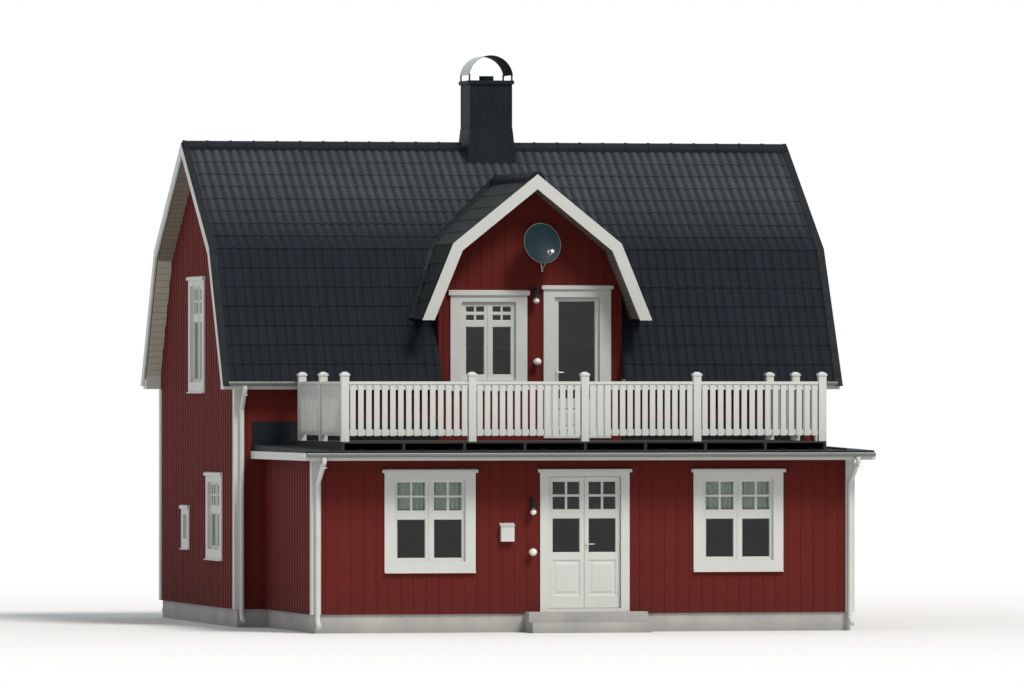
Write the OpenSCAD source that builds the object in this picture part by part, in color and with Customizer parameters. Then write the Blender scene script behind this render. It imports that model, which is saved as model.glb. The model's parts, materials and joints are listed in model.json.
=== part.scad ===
// Timber house by a lake: gambrel roof with a cross gable, and a one-storey
// veranda on the lake side that carries a balcony with a board railing.
// Origin: centre of the main block at ground level. The lake side faces -Y.
// Heights of the facade are counted from the ground floor, which lies
// plinth_h above the ground.

/* [Main block] */
// Length between the gable wall faces
house_l = 9600; // [9300:100:10200]
// Depth between the long wall faces
house_d = 6460; // [6380:20:6560]
// Ground floor above the ground
plinth_h = 350; // [250:50:500]
// Thickness of the outer walls
wall_t = 240; // [200:20:260]
// Upper floor above the ground floor
storey_h = 2650; // [2620:10:2680]
// Thickness of the upper floor
upper_floor_t = 250; // [200:10:280]

/* [Main roof] */
// Ridge line of the covering
ridge_h = 7425; // [7350:25:7500]
// Break between the steep and the flat slope
break_h = 5700; // [5650:25:5750]
// Break, out from the ridge
break_w = 2390; // [2350:10:2430]
// Lower tip of the covering
eave_h = 3500; // [3450:10:3550]
// Lower tip, out from the long wall
eave_out = 355; // [340:5:380]
// Roof overhang at the gables
gable_out = 240; // [200:10:300]
// Thickness of the roof without its covering
roof_t = 200; // [160:10:240]
// Thickness kept for the tiles
cover_t = 40; // [35:5:50]

/* [Cross gable] */
// Ridge line of the covering
cross_ridge_h = 6870; // [6800:10:6950]
// Break between its slopes
cross_break_h = 5760; // [5700:10:5800]
// Break, out from its ridge
cross_break_w = 1385; // [1350:5:1400]
// Lower tip of its covering
cross_eave_h = 4530; // [4500:10:4600]
// Lower tip, out from its ridge
cross_eave_w = 1890; // [1860:10:1950]
// Half width of its wall
cross_wall_w = 1500; // [1480:10:1520]
// Overhang in front of its wall
cross_out = 500; // [400:20:600]
// Thickness of its roof without the covering
cross_t = 150; // [120:10:180]

/* [Veranda] */
// Depth in front of the main block
veranda_d = 3800; // [3600:50:4000]
// Inset of its side walls from the gables
veranda_inset = 480; // [450:10:520]
// Thickness of its walls
veranda_wall_t = 160; // [140:10:180]
// Underside of its roof
veranda_top = 2330; // [2300:10:2350]
// Upper edge of its roof at the front
veranda_roof_front = 2480; // [2460:10:2500]
// Upper edge of its roof at the main block
veranda_roof_back = 2545; // [2530:5:2560]
// Roof overhang at the sides
veranda_side_out = 240; // [200:10:300]
// Roof overhang at the front
veranda_front_out = 510; // [400:10:600]
// Half width of the inner doorway
inner_door_w = 800; // [600:50:850]
// Height of the inner doorway
inner_door_h = 2050; // [2000:10:2100]

/* [Balcony] */
// Deck above the ground floor
deck_h = 2620; // [2600:5:2640]
// Post line, out from the middle of the house
rail_x = 3820; // [3780:10:3840]
// Post top
post_top = 3705; // [3650:5:3750]
// Hand rail top
rail_top = 3555; // [3500:5:3600]
// Lower edge of the bottom rail
rail_foot = 2720; // [2700:5:2740]
// Post width
post_w = 120; // [100:5:130]
// Second post, out from the middle of the house
rail_mid_x = 1800; // [1700:20:1900]
// Last post of the side railings, out from the long wall
rail_end_out = 480; // [470:10:600]
// Baluster board width
baluster_w = 84; // [70:2:90]
// Largest distance between baluster middles
baluster_pitch = 125; // [120:1:135]

/* [Entrance] */
// Width of the opening between the jambs
door_w = 1160; // [1000:20:1240]
// Height of the opening above the floor
door_h = 2070; // [2040:10:2100]
// Gap all round each leaf
door_gap = 6; // [5:0.5:8]
// Leaf thickness
leaf_t = 52; // [44:2:60]

/* [Windows] */
// Width of the outer casing boards
casing_w = 115; // [100:5:130]
// Width of the casing boards on the cross gable
cross_casing_w = 140; // [120:5:150]
// Thickness of the outer casing boards
casing_t = 25; // [20:1:32]
// Width of the window frames
frame_w = 45; // [40:5:60]
// Depth of the window frames
frame_d = 110; // [90:5:130]
// Thickness of the casements
sash_t = 48; // [40:2:56]
// Glass thickness
glass_t = 8; // [6:1:24]

/* [Chimney] */
// Width and depth of the stack
chimney_w = 700; // [600:20:800]
// Top of the stack
chimney_h = 8460; // [8200:20:8600]
// Rise of the arched hood above the stack
hood_rise = 410; // [350:10:450]

/* [Hidden] */

eps = 1;
// Gap left where two pieces lie on each other.
seat = 0.2;
house_x = house_l / 2;
house_y = house_d / 2;
wall_base = plinth_h - 60;
plinth_inset = 30;
veranda_x = house_x - veranda_inset;
veranda_y = house_y + veranda_d;

// Perpendicular depths below the covering line.
roof_top = cover_t;
roof_under = cover_t + roof_t;
cross_under = cover_t + cross_t;

// Fascia and soffit of the main eaves.
fascia_top = plinth_h + 3590;
soffit_z = plinth_h + 3430;
fascia_y = house_y + 270;

main_outline = [ridge_h, break_h, break_w, house_y + eave_out, eave_h];
cross_outline = [cross_ridge_h, cross_break_h, cross_break_w, cross_eave_w, cross_eave_h];

red = "#7c2620";
white = "#dfe0da";
black = "#23272c";
grey = "#8d8d88";
glass_colour = "#5b6a66";

// Gambrel outline: half width and height of ridge, break and foot, at a
// perpendicular depth below the covering, cut level at height foot_z.
function pitch_flat(o) = (o[0] - o[1]) / o[2];
function pitch_steep(o) = (o[1] - o[4]) / (o[3] - o[2]);
function drop(pitch, depth) = depth * sqrt(1 + pitch * pitch);
function ridge_z(o, depth) = plinth_h + o[0] - drop(pitch_flat(o), depth);
function steep_z0(o, depth) =
    plinth_h + o[1] - drop(pitch_steep(o), depth) + pitch_steep(o) * o[2];
function bend_w(o, depth) =
    (steep_z0(o, depth) - ridge_z(o, depth)) / (pitch_steep(o) - pitch_flat(o));
function bend_z(o, depth) = ridge_z(o, depth) - pitch_flat(o) * bend_w(o, depth);
function steep_w(o, depth, z) = (steep_z0(o, depth) - z) / pitch_steep(o);
function steep_z(o, depth, w) = steep_z0(o, depth) - pitch_steep(o) * w;

// Whole outline as a polygon, cut level at foot_z.
function outline(o, depth, foot_z) = [
    [-steep_w(o, depth, foot_z), foot_z],
    [-bend_w(o, depth), bend_z(o, depth)],
    [0, ridge_z(o, depth)],
    [bend_w(o, depth), bend_z(o, depth)],
    [steep_w(o, depth, foot_z), foot_z]
];

// Left half of a roof layer between two depths.
function flat_band(o, d0, d1) = [
    [0, ridge_z(o, d0)],
    [-bend_w(o, d0), bend_z(o, d0)],
    [-bend_w(o, d1), bend_z(o, d1)],
    [0, ridge_z(o, d1)]
];
function steep_band(o, d0, d1, foot_z) = [
    [-bend_w(o, d0), bend_z(o, d0)],
    [-steep_w(o, d0, foot_z), foot_z],
    [-steep_w(o, d1, foot_z), foot_z],
    [-bend_w(o, d1), bend_z(o, d1)]
];
function half_band(o, d0, d1, foot_z) = [
    [0, ridge_z(o, d0)],
    [-bend_w(o, d0), bend_z(o, d0)],
    [-steep_w(o, d0, foot_z), foot_z],
    [-steep_w(o, d1, foot_z), foot_z],
    [-bend_w(o, d1), bend_z(o, d1)],
    [0, ridge_z(o, d1)]
];

// A profile drawn in Y and Z, drawn out along X, and one drawn in X and Z,
// drawn out along Y.
module along_x(points, x0, x1) {
    translate([x0, 0, 0]) rotate([90, 0, 90]) linear_extrude(x1 - x0) polygon(points);
}
module along_y(points, y0, y1) {
    translate([0, y1, 0]) rotate([90, 0, 0]) linear_extrude(y1 - y0) polygon(points);
}
module box(lo, hi) {
    translate(lo) cube(hi - lo);
}
module mirror_copy(axis) {
    children();
    mirror(axis) children();
}

// Trim of a window or door: side casing, head casing, height and overhang of
// its cap, casement stile, both meeting stiles together, and the rail under
// the small panes.
plain_trim = [casing_w, 50, 60, 35, 45, 132, 130];
crown_trim = [cross_casing_w, 58, 83, 35, 72, 132, 96];
cap_out = 30;
cap_fall = 12;
sill_out = 30;

// Windows. Each entry: middle along the wall, sill of the opening above the
// ground floor, width and height of the opening, share of the height above
// the rail under the small panes, trim.
cross_window = [-683, 3540, 975, 1333, 0.296, crown_trim];
veranda_window = [2468, 715, 1216, 1370, 0.441, plain_trim];
gable_upper_window = [0, 3500, 1100, 1650, 0.34, plain_trim];
gable_lower_window = [1500, 820, 1100, 1170, 0.42, plain_trim];
gable_small_window = [-960, 950, 410, 480, 0, plain_trim];
back_window = [0, 715, 1216, 1370, 0.441, plain_trim];
back_window_x = 2900;
balcony_door_x = 767;
balcony_door_w = 826;
balcony_door_h = 2300;

module at_front(y) translate([0, -y, 0]) children();
module at_back(x = 0) translate([x, house_y, 0]) rotate([0, 0, 180]) children();
module at_left() translate([-house_x, 0, 0]) rotate([0, 0, -90]) children();

module hole(w) {
    box([w[0] - w[2] / 2, -50, plinth_h + w[1]], [w[0] + w[2] / 2, wall_t + 50, plinth_h + w[1] + w[3]]);
}

// Cap over a head casing, its top sloping outwards.
module head_cap(half, z, trim) {
    along_x([
        [-eps, z],
        [-casing_t - cap_out, z],
        [-casing_t - cap_out, z + trim[2] - cap_fall],
        [-eps, z + trim[2]]
    ], -half - trim[0] - trim[3], half + trim[0] + trim[3]);
}
// Sill board at the foot of the casing, sloping outwards too.
module sill_board(half, trim) {
    along_x([
        [-eps, 6 - casing_w],
        [-eps, -22 - casing_w],
        [-casing_t - sill_out, -22 - casing_w],
        [-casing_t - sill_out, -4 - casing_w]
    ], -half - trim[0], half + trim[0]);
}

// The clear panes of both casements, from depth y over thickness t.
sash_y = 22;
glass_y = sash_y + (sash_t - glass_t) / 2;
module panes(w, y, t) {
    half = w[2] / 2 - frame_w;
    trim = w[5];
    rail_z = w[3] * (1 - w[4]);
    foot = frame_w + trim[4];
    top = w[3] - frame_w - trim[4];
    if (w[4] > 0) {
        for (z = [[foot, rail_z - trim[6] / 2], [rail_z + trim[6] / 2, top]])
            mirror_copy([1, 0, 0]) box([trim[5] / 2, y, z[0]], [half - trim[4], y + t, z[1]]);
    } else {
        box([trim[4] - half, y, foot], [half - trim[4], y + t, top]);
    }
}
module casements(w) {
    half = w[2] / 2 - frame_w;
    difference() {
        box([-half - eps, sash_y, frame_w - eps], [half + eps, sash_y + sash_t, w[3] - frame_w + eps]);
        panes(w, sash_y - eps, sash_t + 2 * eps);
    }
    if (w[4] > 0) box([-16, sash_y - 8, frame_w], [16, sash_y + eps, w[3] - frame_w]);
}

// Casing boards, cap and sill outside; frame ring and casements in the opening.
module window_frame(w) {
    half = w[2] / 2;
    trim = w[5];
    head = w[3] + trim[1];
    clear = half - frame_w;
    translate([w[0], 0, plinth_h + w[1]]) {
        difference() {
            union() {
                box([-half - trim[0], -casing_t, -casing_w], [half + trim[0], 0, head + trim[2]]);
                box([-half, -eps, 0], [half, frame_d, w[3]]);
                head_cap(half, head, trim);
                sill_board(half, trim);
            }
            box([-clear, -2 * casing_t - 40, frame_w], [clear, frame_d + eps, w[3] - frame_w]);
        }
        casements(w);
    }
}
module window_glass(w) {
    translate([w[0], 0, plinth_h + w[1]]) panes(w, glass_y, glass_t);
}

module foundation_main() color(grey)
    box([-house_x + plinth_inset, -house_y + plinth_inset, 0],
        [house_x - plinth_inset, house_y - plinth_inset, wall_base]);

module foundation_veranda() color(grey)
    box([-veranda_x + plinth_inset, -veranda_y + plinth_inset, 0],
        [veranda_x - plinth_inset, -house_y + plinth_inset, wall_base]);

module ground_floor() color("#a98b62") {
    box([-house_x + wall_t, -house_y + wall_t, wall_base], [house_x - wall_t, house_y - wall_t, plinth_h]);
    box([-inner_door_w, -house_y, wall_base], [inner_door_w, -house_y + wall_t + eps, plinth_h]);
}

module veranda_floor() color("#a98b62") {
    box([-veranda_x + veranda_wall_t, -veranda_y + veranda_wall_t, wall_base],
        [veranda_x - veranda_wall_t, -house_y, plinth_h]);
    box([-door_w / 2 - frame_w, -veranda_y, wall_base],
        [door_w / 2 + frame_w, -veranda_y + veranda_wall_t + eps, plinth_h]);
}
// Two solid steps up to the threshold.
step_w = 1900;
step_d = 270;
step_top = -30;
module door_steps() color(grey) {
    box([-step_w / 2, -veranda_y - step_d, 0], [step_w / 2, -veranda_y, plinth_h + step_top]);
    box([-step_w / 2, -veranda_y - 2 * step_d, 0],
        [step_w / 2, -veranda_y - step_d, (plinth_h + step_top) / 2]);
}

module upper_floor() color("#a98b62")
    box([-house_x + wall_t, -house_y + wall_t, plinth_h + storey_h - upper_floor_t],
        [house_x - wall_t, house_y - wall_t, plinth_h + storey_h]);

// Gable wall under the roof.
module gable_blank() {
    intersection() {
        along_x(outline(main_outline, roof_under + seat, wall_base - 500), -house_x, -house_x + wall_t);
        box([-2 * house_x, -house_y, wall_base], [0, house_y, plinth_h + ridge_h]);
    }
}
module gable_holes() {
    hole(gable_upper_window);
    hole(gable_lower_window);
    hole(gable_small_window);
}
module left_gable_wall() color(red) difference() {
    gable_blank();
    at_left() gable_holes();
}
module right_gable_wall() color(red) mirror([1, 0, 0]) left_gable_wall();

// Long wall between the gables, its top cut by the roof.
module long_wall_blank() {
    intersection() {
        along_x(outline(main_outline, roof_under + seat, wall_base - 500),
            -house_x + wall_t, house_x - wall_t);
        box([-house_x, -house_y, wall_base], [house_x, -house_y + wall_t, plinth_h + ridge_h]);
    }
}
module front_wall_left() color(red) difference() {
    long_wall_blank();
    box([-cross_wall_w, -house_y - eps, plinth_h + storey_h], [house_x, 0, plinth_h + ridge_h]);
    box([-inner_door_w, -house_y - eps, 0], [house_x, 0, plinth_h + ridge_h]);
}
module front_wall_right() color(red) mirror([1, 0, 0]) front_wall_left();
module front_wall_over_doorway() color(red)
    box([-inner_door_w, -house_y, plinth_h + inner_door_h],
        [inner_door_w, -house_y + wall_t, plinth_h + storey_h]);
module back_wall() color(red) difference() {
    mirror([0, 1, 0]) long_wall_blank();
    for (x = [-back_window_x, 0, back_window_x])
        at_back(x) hole(back_window);
}

module cross_gable_wall() color(red) difference() {
    intersection() {
        along_y(outline(cross_outline, cross_under + seat, plinth_h + storey_h - 2000),
            -house_y, -house_y + wall_t);
        box([-cross_wall_w, -house_y - eps, plinth_h + storey_h], [cross_wall_w, 0, plinth_h + ridge_h]);
    }
    at_front(house_y) hole(cross_window);
    at_front(house_y) hole([balcony_door_x, storey_h - eps, balcony_door_w, balcony_door_h + eps]);
}

// Sides of the cross gable between its roof and the main roof.
module cross_gable_cheeks() color(red) difference() {
    intersection() {
        along_y(outline(cross_outline, cross_under + seat, plinth_h + storey_h), -house_y + wall_t, 0);
        mirror_copy([1, 0, 0])
            box([cross_wall_w - veranda_wall_t, -house_y, plinth_h + storey_h],
                [cross_wall_w, 0, plinth_h + ridge_h]);
    }
    along_x(outline(main_outline, roof_top, plinth_h), -house_x, house_x);
}

module veranda_left_wall() color(red)
    box([-veranda_x, -veranda_y + veranda_wall_t, wall_base],
        [-veranda_x + veranda_wall_t, -house_y, plinth_h + veranda_top]);
module veranda_right_wall() color(red) mirror([1, 0, 0]) veranda_left_wall();
module veranda_front_left() color(red) difference() {
    box([-veranda_x, -veranda_y, wall_base],
        [-door_w / 2 - frame_w, -veranda_y + veranda_wall_t, plinth_h + veranda_top]);
    at_front(veranda_y) mirror([1, 0, 0]) hole(veranda_window);
}
module veranda_front_right() color(red) mirror([1, 0, 0]) veranda_front_left();
module veranda_over_door() color(red)
    box([-door_w / 2 - frame_w, -veranda_y, plinth_h + door_h + frame_w],
        [door_w / 2 + frame_w, -veranda_y + veranda_wall_t, plinth_h + veranda_top]);

// Inside of the cross gable, which passes through the front slopes.
module cross_room() {
    along_y(outline(cross_outline, cross_under, plinth_h + storey_h), -veranda_y, 0);
}
module roof_front_upper() color(black) difference() {
    along_x(flat_band(main_outline, roof_top, roof_under), -house_x - gable_out, house_x + gable_out);
    cross_room();
}
module lower_slope(x0, x1) {
    along_x(steep_band(main_outline, roof_top, roof_under, fascia_top), x0, x1);
}
module roof_front_lower_left() color(black) difference() {
    lower_slope(-house_x - gable_out, -cross_break_w + cross_t);
    intersection() {
        cross_room();
        box([-cross_wall_w, -veranda_y, 0], [cross_wall_w, 0, plinth_h + ridge_h]);
    }
}
module roof_front_lower_right() color(black) mirror([1, 0, 0]) roof_front_lower_left();
module roof_back_upper() color(black) mirror([0, 1, 0])
    along_x(flat_band(main_outline, roof_top, roof_under), -house_x - gable_out, house_x + gable_out);
module roof_back_lower() color(black) mirror([0, 1, 0])
    lower_slope(-house_x - gable_out, house_x + gable_out);

module cross_roof_left() color(black) difference() {
    along_y(half_band(cross_outline, roof_top, cross_under, plinth_h + cross_eave_h + 20),
        -house_y - cross_out, 0);
    along_x(outline(main_outline, roof_top, plinth_h), -house_x, house_x);
}
module cross_roof_right() color(black) mirror([1, 0, 0]) cross_roof_left();

barge_t = 30;
barge_w = 165;
module bargeboards() color(white) {
    mirror_copy([1, 0, 0]) mirror_copy([0, 1, 0])
        along_x(half_band(main_outline, 10, barge_w, plinth_h + eave_h - 20),
            -house_x - gable_out - barge_t, -house_x - gable_out);
    mirror_copy([1, 0, 0])
        along_y(half_band(cross_outline, 10, barge_w + 30, plinth_h + cross_eave_h),
            -house_y - cross_out - barge_t, -house_y - cross_out);
}

// Boxed eaves: soffit, fascia and the wedge up to the wall head.
eave_box = [
    [-house_y, soffit_z],
    [-house_y, steep_z(main_outline, roof_under + seat, house_y)],
    [-steep_w(main_outline, roof_under + seat, fascia_top), fascia_top],
    [-fascia_y, fascia_top],
    [-fascia_y, soffit_z]
];
module eave_boxes() color(white) {
    mirror_copy([1, 0, 0]) along_x(eave_box, -house_x - gable_out, -cross_wall_w);
    mirror([0, 1, 0]) along_x(eave_box, -house_x - gable_out, house_x + gable_out);
}

// Ridge: half-round shells on upright edges, with a collar at each joint and
// a closed end over the bargeboards.
ridge_r = 125;
ridge_t = 14;
ridge_pitch = 400;
collar_l = 35;
collar_t = 8;
module ridge_plate(o, grow = 0) {
    centre = ridge_z(o, 0) - pitch_flat(o) * ridge_r;
    outer = ridge_r + grow;
    difference() {
        union() {
            translate([0, centre]) circle(r = outer, $fn = 64);
            translate([-outer, centre - ridge_r]) square([2 * outer, ridge_r]);
        }
        polygon(outline(o, roof_top - seat, plinth_h));
    }
}
module ridge_section(o, grow = 0) {
    centre = ridge_z(o, 0) - pitch_flat(o) * ridge_r;
    inner = ridge_r - ridge_t;
    difference() {
        ridge_plate(o, grow);
        translate([0, centre]) circle(r = inner, $fn = 64);
        translate([-inner, centre - 2 * ridge_r]) square([2 * inner, 2 * ridge_r]);
    }
}
// A run of the ridge along X from its closed end, with whole tiles of about
// ridge_pitch.
module ridge_run(o, x0, x1) {
    count = round((x1 - x0) / ridge_pitch);
    translate([x0, 0, 0]) rotate([90, 0, 90]) {
        linear_extrude(x1 - x0) ridge_section(o);
        linear_extrude(ridge_t) ridge_plate(o);
        for (i = [0 : count - 1])
            translate([0, 0, i * (x1 - x0) / count]) linear_extrude(collar_l) ridge_section(o, collar_t);
    }
}
module ridge_caps() color(black) {
    mirror_copy([1, 0, 0]) ridge_run(main_outline, -house_x - gable_out, -skirt_w / 2);
    difference() {
        rotate([0, 0, 90]) ridge_run(cross_outline, -house_y - cross_out, -200);
        along_x(outline(main_outline, roof_top, plinth_h), -house_x, house_x);
    }
}

// Half-round gutters.
gutter_r = 60;
gutter_t = 4;
gutter_z = plinth_h + 3545;
veranda_gutter_z = plinth_h + 2440;
module gutter_section() {
    difference() {
        circle(r = gutter_r, $fn = 48);
        circle(r = gutter_r - gutter_t, $fn = 48);
        translate([-2 * gutter_r, 0]) square([4 * gutter_r, 2 * gutter_r]);
    }
}
module gutter(x0, x1, y, z) {
    translate([x0, y, z]) rotate([90, 0, 90]) {
        linear_extrude(x1 - x0) gutter_section();
        for (at = [0, x1 - x0 - gutter_t])
            translate([0, 0, at]) linear_extrude(gutter_t) intersection() {
                circle(r = gutter_r, $fn = 48);
                translate([-2 * gutter_r, -2 * gutter_r]) square([4 * gutter_r, 2 * gutter_r]);
            }
    }
}
main_gutter_y = fascia_y + gutter_r + seat;
veranda_gutter_y = veranda_y + veranda_front_out + gutter_r + seat;
gutter_end = house_x + gable_out - 60;
module gutters() color(white) {
    mirror_copy([1, 0, 0]) gutter(-gutter_end, -cross_wall_w - 30, -main_gutter_y, gutter_z);
    gutter(-gutter_end, gutter_end, main_gutter_y, gutter_z);
    gutter(30 - roof_edge_x, roof_edge_x - 30, -veranda_gutter_y, veranda_gutter_z);
}

// Twelve-sided pipe from point to point, mitred at its bends.
pipe_r = 38;
function unit(v) = v / norm(v);
function bend_reach(points, i) =
    i <= 0 || i >= len(points) - 1 ? 0
    : pipe_r * tan(acos(unit(points[i] - points[i - 1]) * unit(points[i + 1] - points[i])) / 2);
module pipe(points) {
    for (i = [0 : len(points) - 2]) {
        dir = unit(points[i + 1] - points[i]);
        start = points[i] - dir * bend_reach(points, i);
        length = norm(points[i + 1] - points[i]) + bend_reach(points, i) + bend_reach(points, i + 1);
        translate(start)
            rotate([0, acos(dir[2]), atan2(dir[1], dir[0])])
                cylinder(r = pipe_r, h = length, $fn = 12);
    }
}
// Pipe with a shoe at its foot, its top fitting the gutter that it hangs from.
shoe_z = 100;
module downpipe(x, gutter_y, z, wall_y, drop_1, drop_2) {
    pipe_y = -wall_y - pipe_r - 26;
    difference() {
        pipe([
            [x, -gutter_y, z - gutter_r / 2],
            [x, -gutter_y, z - drop_1],
            [x, pipe_y, z - drop_2],
            [x, pipe_y, shoe_z + 90],
            [x, pipe_y - 120, shoe_z]
        ]);
        translate([x, -gutter_y, z]) rotate([0, 90, 0])
            cylinder(r = gutter_r + seat, h = 6 * pipe_r, center = true, $fn = 48);
    }
}
module downpipes() color(white) {
    mirror_copy([1, 0, 0]) {
        mirror_copy([0, 1, 0]) downpipe(-house_x + 90, main_gutter_y, gutter_z, house_y, 120, 420);
        downpipe(-veranda_x + 60, veranda_gutter_y, veranda_gutter_z, veranda_y, 135, 480);
    }
}

// White boards at the outer corners.
board_w = 120;
board_t = 25;
module corner_post(x, y, top) {
    difference() {
        box([x - board_t, y - board_t, wall_base], [x + board_w, y + board_w, top]);
        box([x, y, 0], [x + 2 * board_w, y + 2 * board_w, top + eps]);
    }
}
module corner_boards() color(white) {
    mirror_copy([1, 0, 0]) mirror_copy([0, 1, 0]) corner_post(-house_x, -house_y, soffit_z);
    mirror_copy([1, 0, 0]) corner_post(-veranda_x, -veranda_y, plinth_h + veranda_top);
}

roof_edge_x = veranda_x + veranda_side_out;
roof_edge_y = veranda_y + veranda_front_out;
fascia_t = 28;
module veranda_roof() color(black)
    along_x([
        [-house_y, plinth_h + veranda_top],
        [-house_y, plinth_h + veranda_roof_back],
        [-roof_edge_y + fascia_t, plinth_h + veranda_roof_front],
        [-roof_edge_y + fascia_t, plinth_h + veranda_top]
    ], -roof_edge_x + fascia_t, roof_edge_x - fascia_t);
module veranda_fascia() color(white) difference() {
    box([-roof_edge_x, -roof_edge_y, plinth_h + veranda_top],
        [roof_edge_x, -house_y, plinth_h + veranda_roof_front - 30]);
    box([-roof_edge_x + fascia_t, -roof_edge_y + fascia_t, 0],
        [roof_edge_x - fascia_t, house_y, plinth_h + ridge_h]);
}
module wall_flashing() color(black) difference() {
    box([-roof_edge_x + fascia_t, -house_y - 12, plinth_h + veranda_roof_back + seat],
        [roof_edge_x - fascia_t, -house_y, plinth_h + 2920]);
    box([-cross_wall_w, -house_y - 50, plinth_h + deck_h - 20], [cross_wall_w, 0, plinth_h + ridge_h]);
}

// Deck boards on wedge-shaped joists that level out the roof's fall.
deck_x = rail_x + post_w / 2;
deck_y = veranda_y + post_w / 2;
deck_t = 28;
joist_w = 45;
joist_n = 9;
function roof_at(y) = plinth_h + veranda_roof_back
    - (veranda_roof_back - veranda_roof_front) * (y - house_y) / (roof_edge_y - fascia_t - house_y);
module balcony_deck() color("#6f6a62") {
    box([-deck_x, -deck_y, plinth_h + deck_h - deck_t], [deck_x, -house_y - 12, plinth_h + deck_h]);
    for (i = [0 : joist_n - 1]) {
        x = -deck_x + i * (2 * deck_x - joist_w) / (joist_n - 1);
        along_x([
            [-house_y - 12, roof_at(house_y + 12)],
            [-house_y - 12, plinth_h + deck_h - deck_t + eps],
            [-deck_y, plinth_h + deck_h - deck_t + eps],
            [-deck_y, roof_at(deck_y)]
        ], x, x + joist_w);
    }
}

// Railing posts with a chamfered cap.
post_y = veranda_y;
wall_post_y = house_y + rail_end_out;
side_post_y = (post_y + wall_post_y) / 2;
front_posts = [-rail_x, -rail_mid_x, 0, rail_mid_x, rail_x];
module railing_post(x, y) {
    translate([x, y, plinth_h + deck_h]) {
        translate([-post_w / 2, -post_w / 2, 0]) cube([post_w, post_w, post_top - deck_h - 60]);
        translate([0, 0, post_top - deck_h - 60])
            linear_extrude(25) square(post_w + 24, center = true);
        translate([0, 0, post_top - deck_h - 35])
            linear_extrude(35, scale = 0.35) square(post_w + 24, center = true);
    }
}
module railing_posts() color(white) {
    for (x = front_posts) railing_post(x, -post_y);
    for (s = [-1, 1]) {
        railing_post(s * rail_x, -side_post_y);
        railing_post(s * rail_x, -wall_post_y);
    }
}
// One bay along X from 0 to span, centred on the rail line.
module bay(span) {
    count = ceil((span - baluster_w / 2) / baluster_pitch);
    pitch = span / count;
    translate([0, -45, plinth_h + rail_top - 45]) cube([span, 90, 45]);
    translate([0, -22, plinth_h + rail_top - 130]) cube([span, 44, 86]);
    translate([0, -22, plinth_h + rail_foot]) cube([span, 44, 90]);
    for (i = [0 : count - 1])
        translate([(i + 0.5) * pitch - baluster_w / 2, -42, plinth_h + rail_foot - 10])
            cube([baluster_w, 22, rail_top - rail_foot - 45]);
}
module railing_front() color(white)
    for (i = [0 : len(front_posts) - 2])
        translate([front_posts[i] + post_w / 2, -post_y, 0])
            bay(front_posts[i + 1] - front_posts[i] - post_w);
module railing_sides() color(white)
    mirror_copy([1, 0, 0])
        for (y = [[wall_post_y, side_post_y], [side_post_y, post_y]])
            translate([-rail_x, -y[0] - post_w / 2, 0]) rotate([0, 0, -90]) bay(y[1] - y[0] - post_w);

module front_windows() color(white) {
    at_front(house_y) window_frame(cross_window);
    mirror_copy([1, 0, 0]) at_front(veranda_y) window_frame(veranda_window);
}
module gable_window_frames() {
    window_frame(gable_upper_window);
    window_frame(gable_lower_window);
    window_frame(gable_small_window);
}
module gable_windows() color(white)
    mirror_copy([1, 0, 0]) at_left() gable_window_frames();
module back_windows() color(white)
    for (x = [-back_window_x, 0, back_window_x]) at_back(x) window_frame(back_window);

// Clear width and height of the balcony door's pane and of the panel under it.
door_stile = 64;
door_pane = [620, balcony_door_h - frame_w - door_stile];
door_panel = [150, 480];
module window_glass_front() color(glass_colour) {
    at_front(house_y) window_glass(cross_window);
    mirror_copy([1, 0, 0]) at_front(veranda_y) window_glass(veranda_window);
    half = balcony_door_w / 2 - frame_w - door_stile;
    translate([balcony_door_x, -house_y, plinth_h + storey_h])
        box([-half, glass_y, door_pane[0]], [half, glass_y + glass_t, door_pane[1]]);
}
module gable_glass() {
    window_glass(gable_upper_window);
    window_glass(gable_lower_window);
    window_glass(gable_small_window);
}
module window_glass_gables() color(glass_colour)
    mirror_copy([1, 0, 0]) at_left() gable_glass();
module window_glass_back() color(glass_colour)
    for (x = [-back_window_x, 0, back_window_x]) at_back(x) window_glass(back_window);

// Balcony door: casing, cap, jambs and a glazed leaf that stays shut.
door_head = 80;
door_cap = 63;
module balcony_door() color(white) {
    half = balcony_door_w / 2;
    inner = half - frame_w;
    pane = inner - door_stile;
    head = balcony_door_h + door_head;
    trim = [cross_casing_w, door_head, door_cap, 35];
    translate([balcony_door_x, -house_y, plinth_h + storey_h]) {
        difference() {
            union() {
                box([-half - trim[0], -casing_t, -eps], [half + trim[0], 0, head + door_cap]);
                head_cap(half, head, trim);
                box([-half, -eps, 0], [half, frame_d, balcony_door_h]);
            }
            box([-inner, -100, 30], [inner, sash_y, balcony_door_h - frame_w]);
            box([-inner, sash_y + sash_t, 30], [inner, wall_t, balcony_door_h - frame_w]);
            box([-pane, -100, door_pane[0]], [pane, wall_t, door_pane[1]]);
            box([-pane, -100, door_panel[0]], [pane, sash_y + panel_sink, door_panel[1]]);
        }
    }
}

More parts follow.
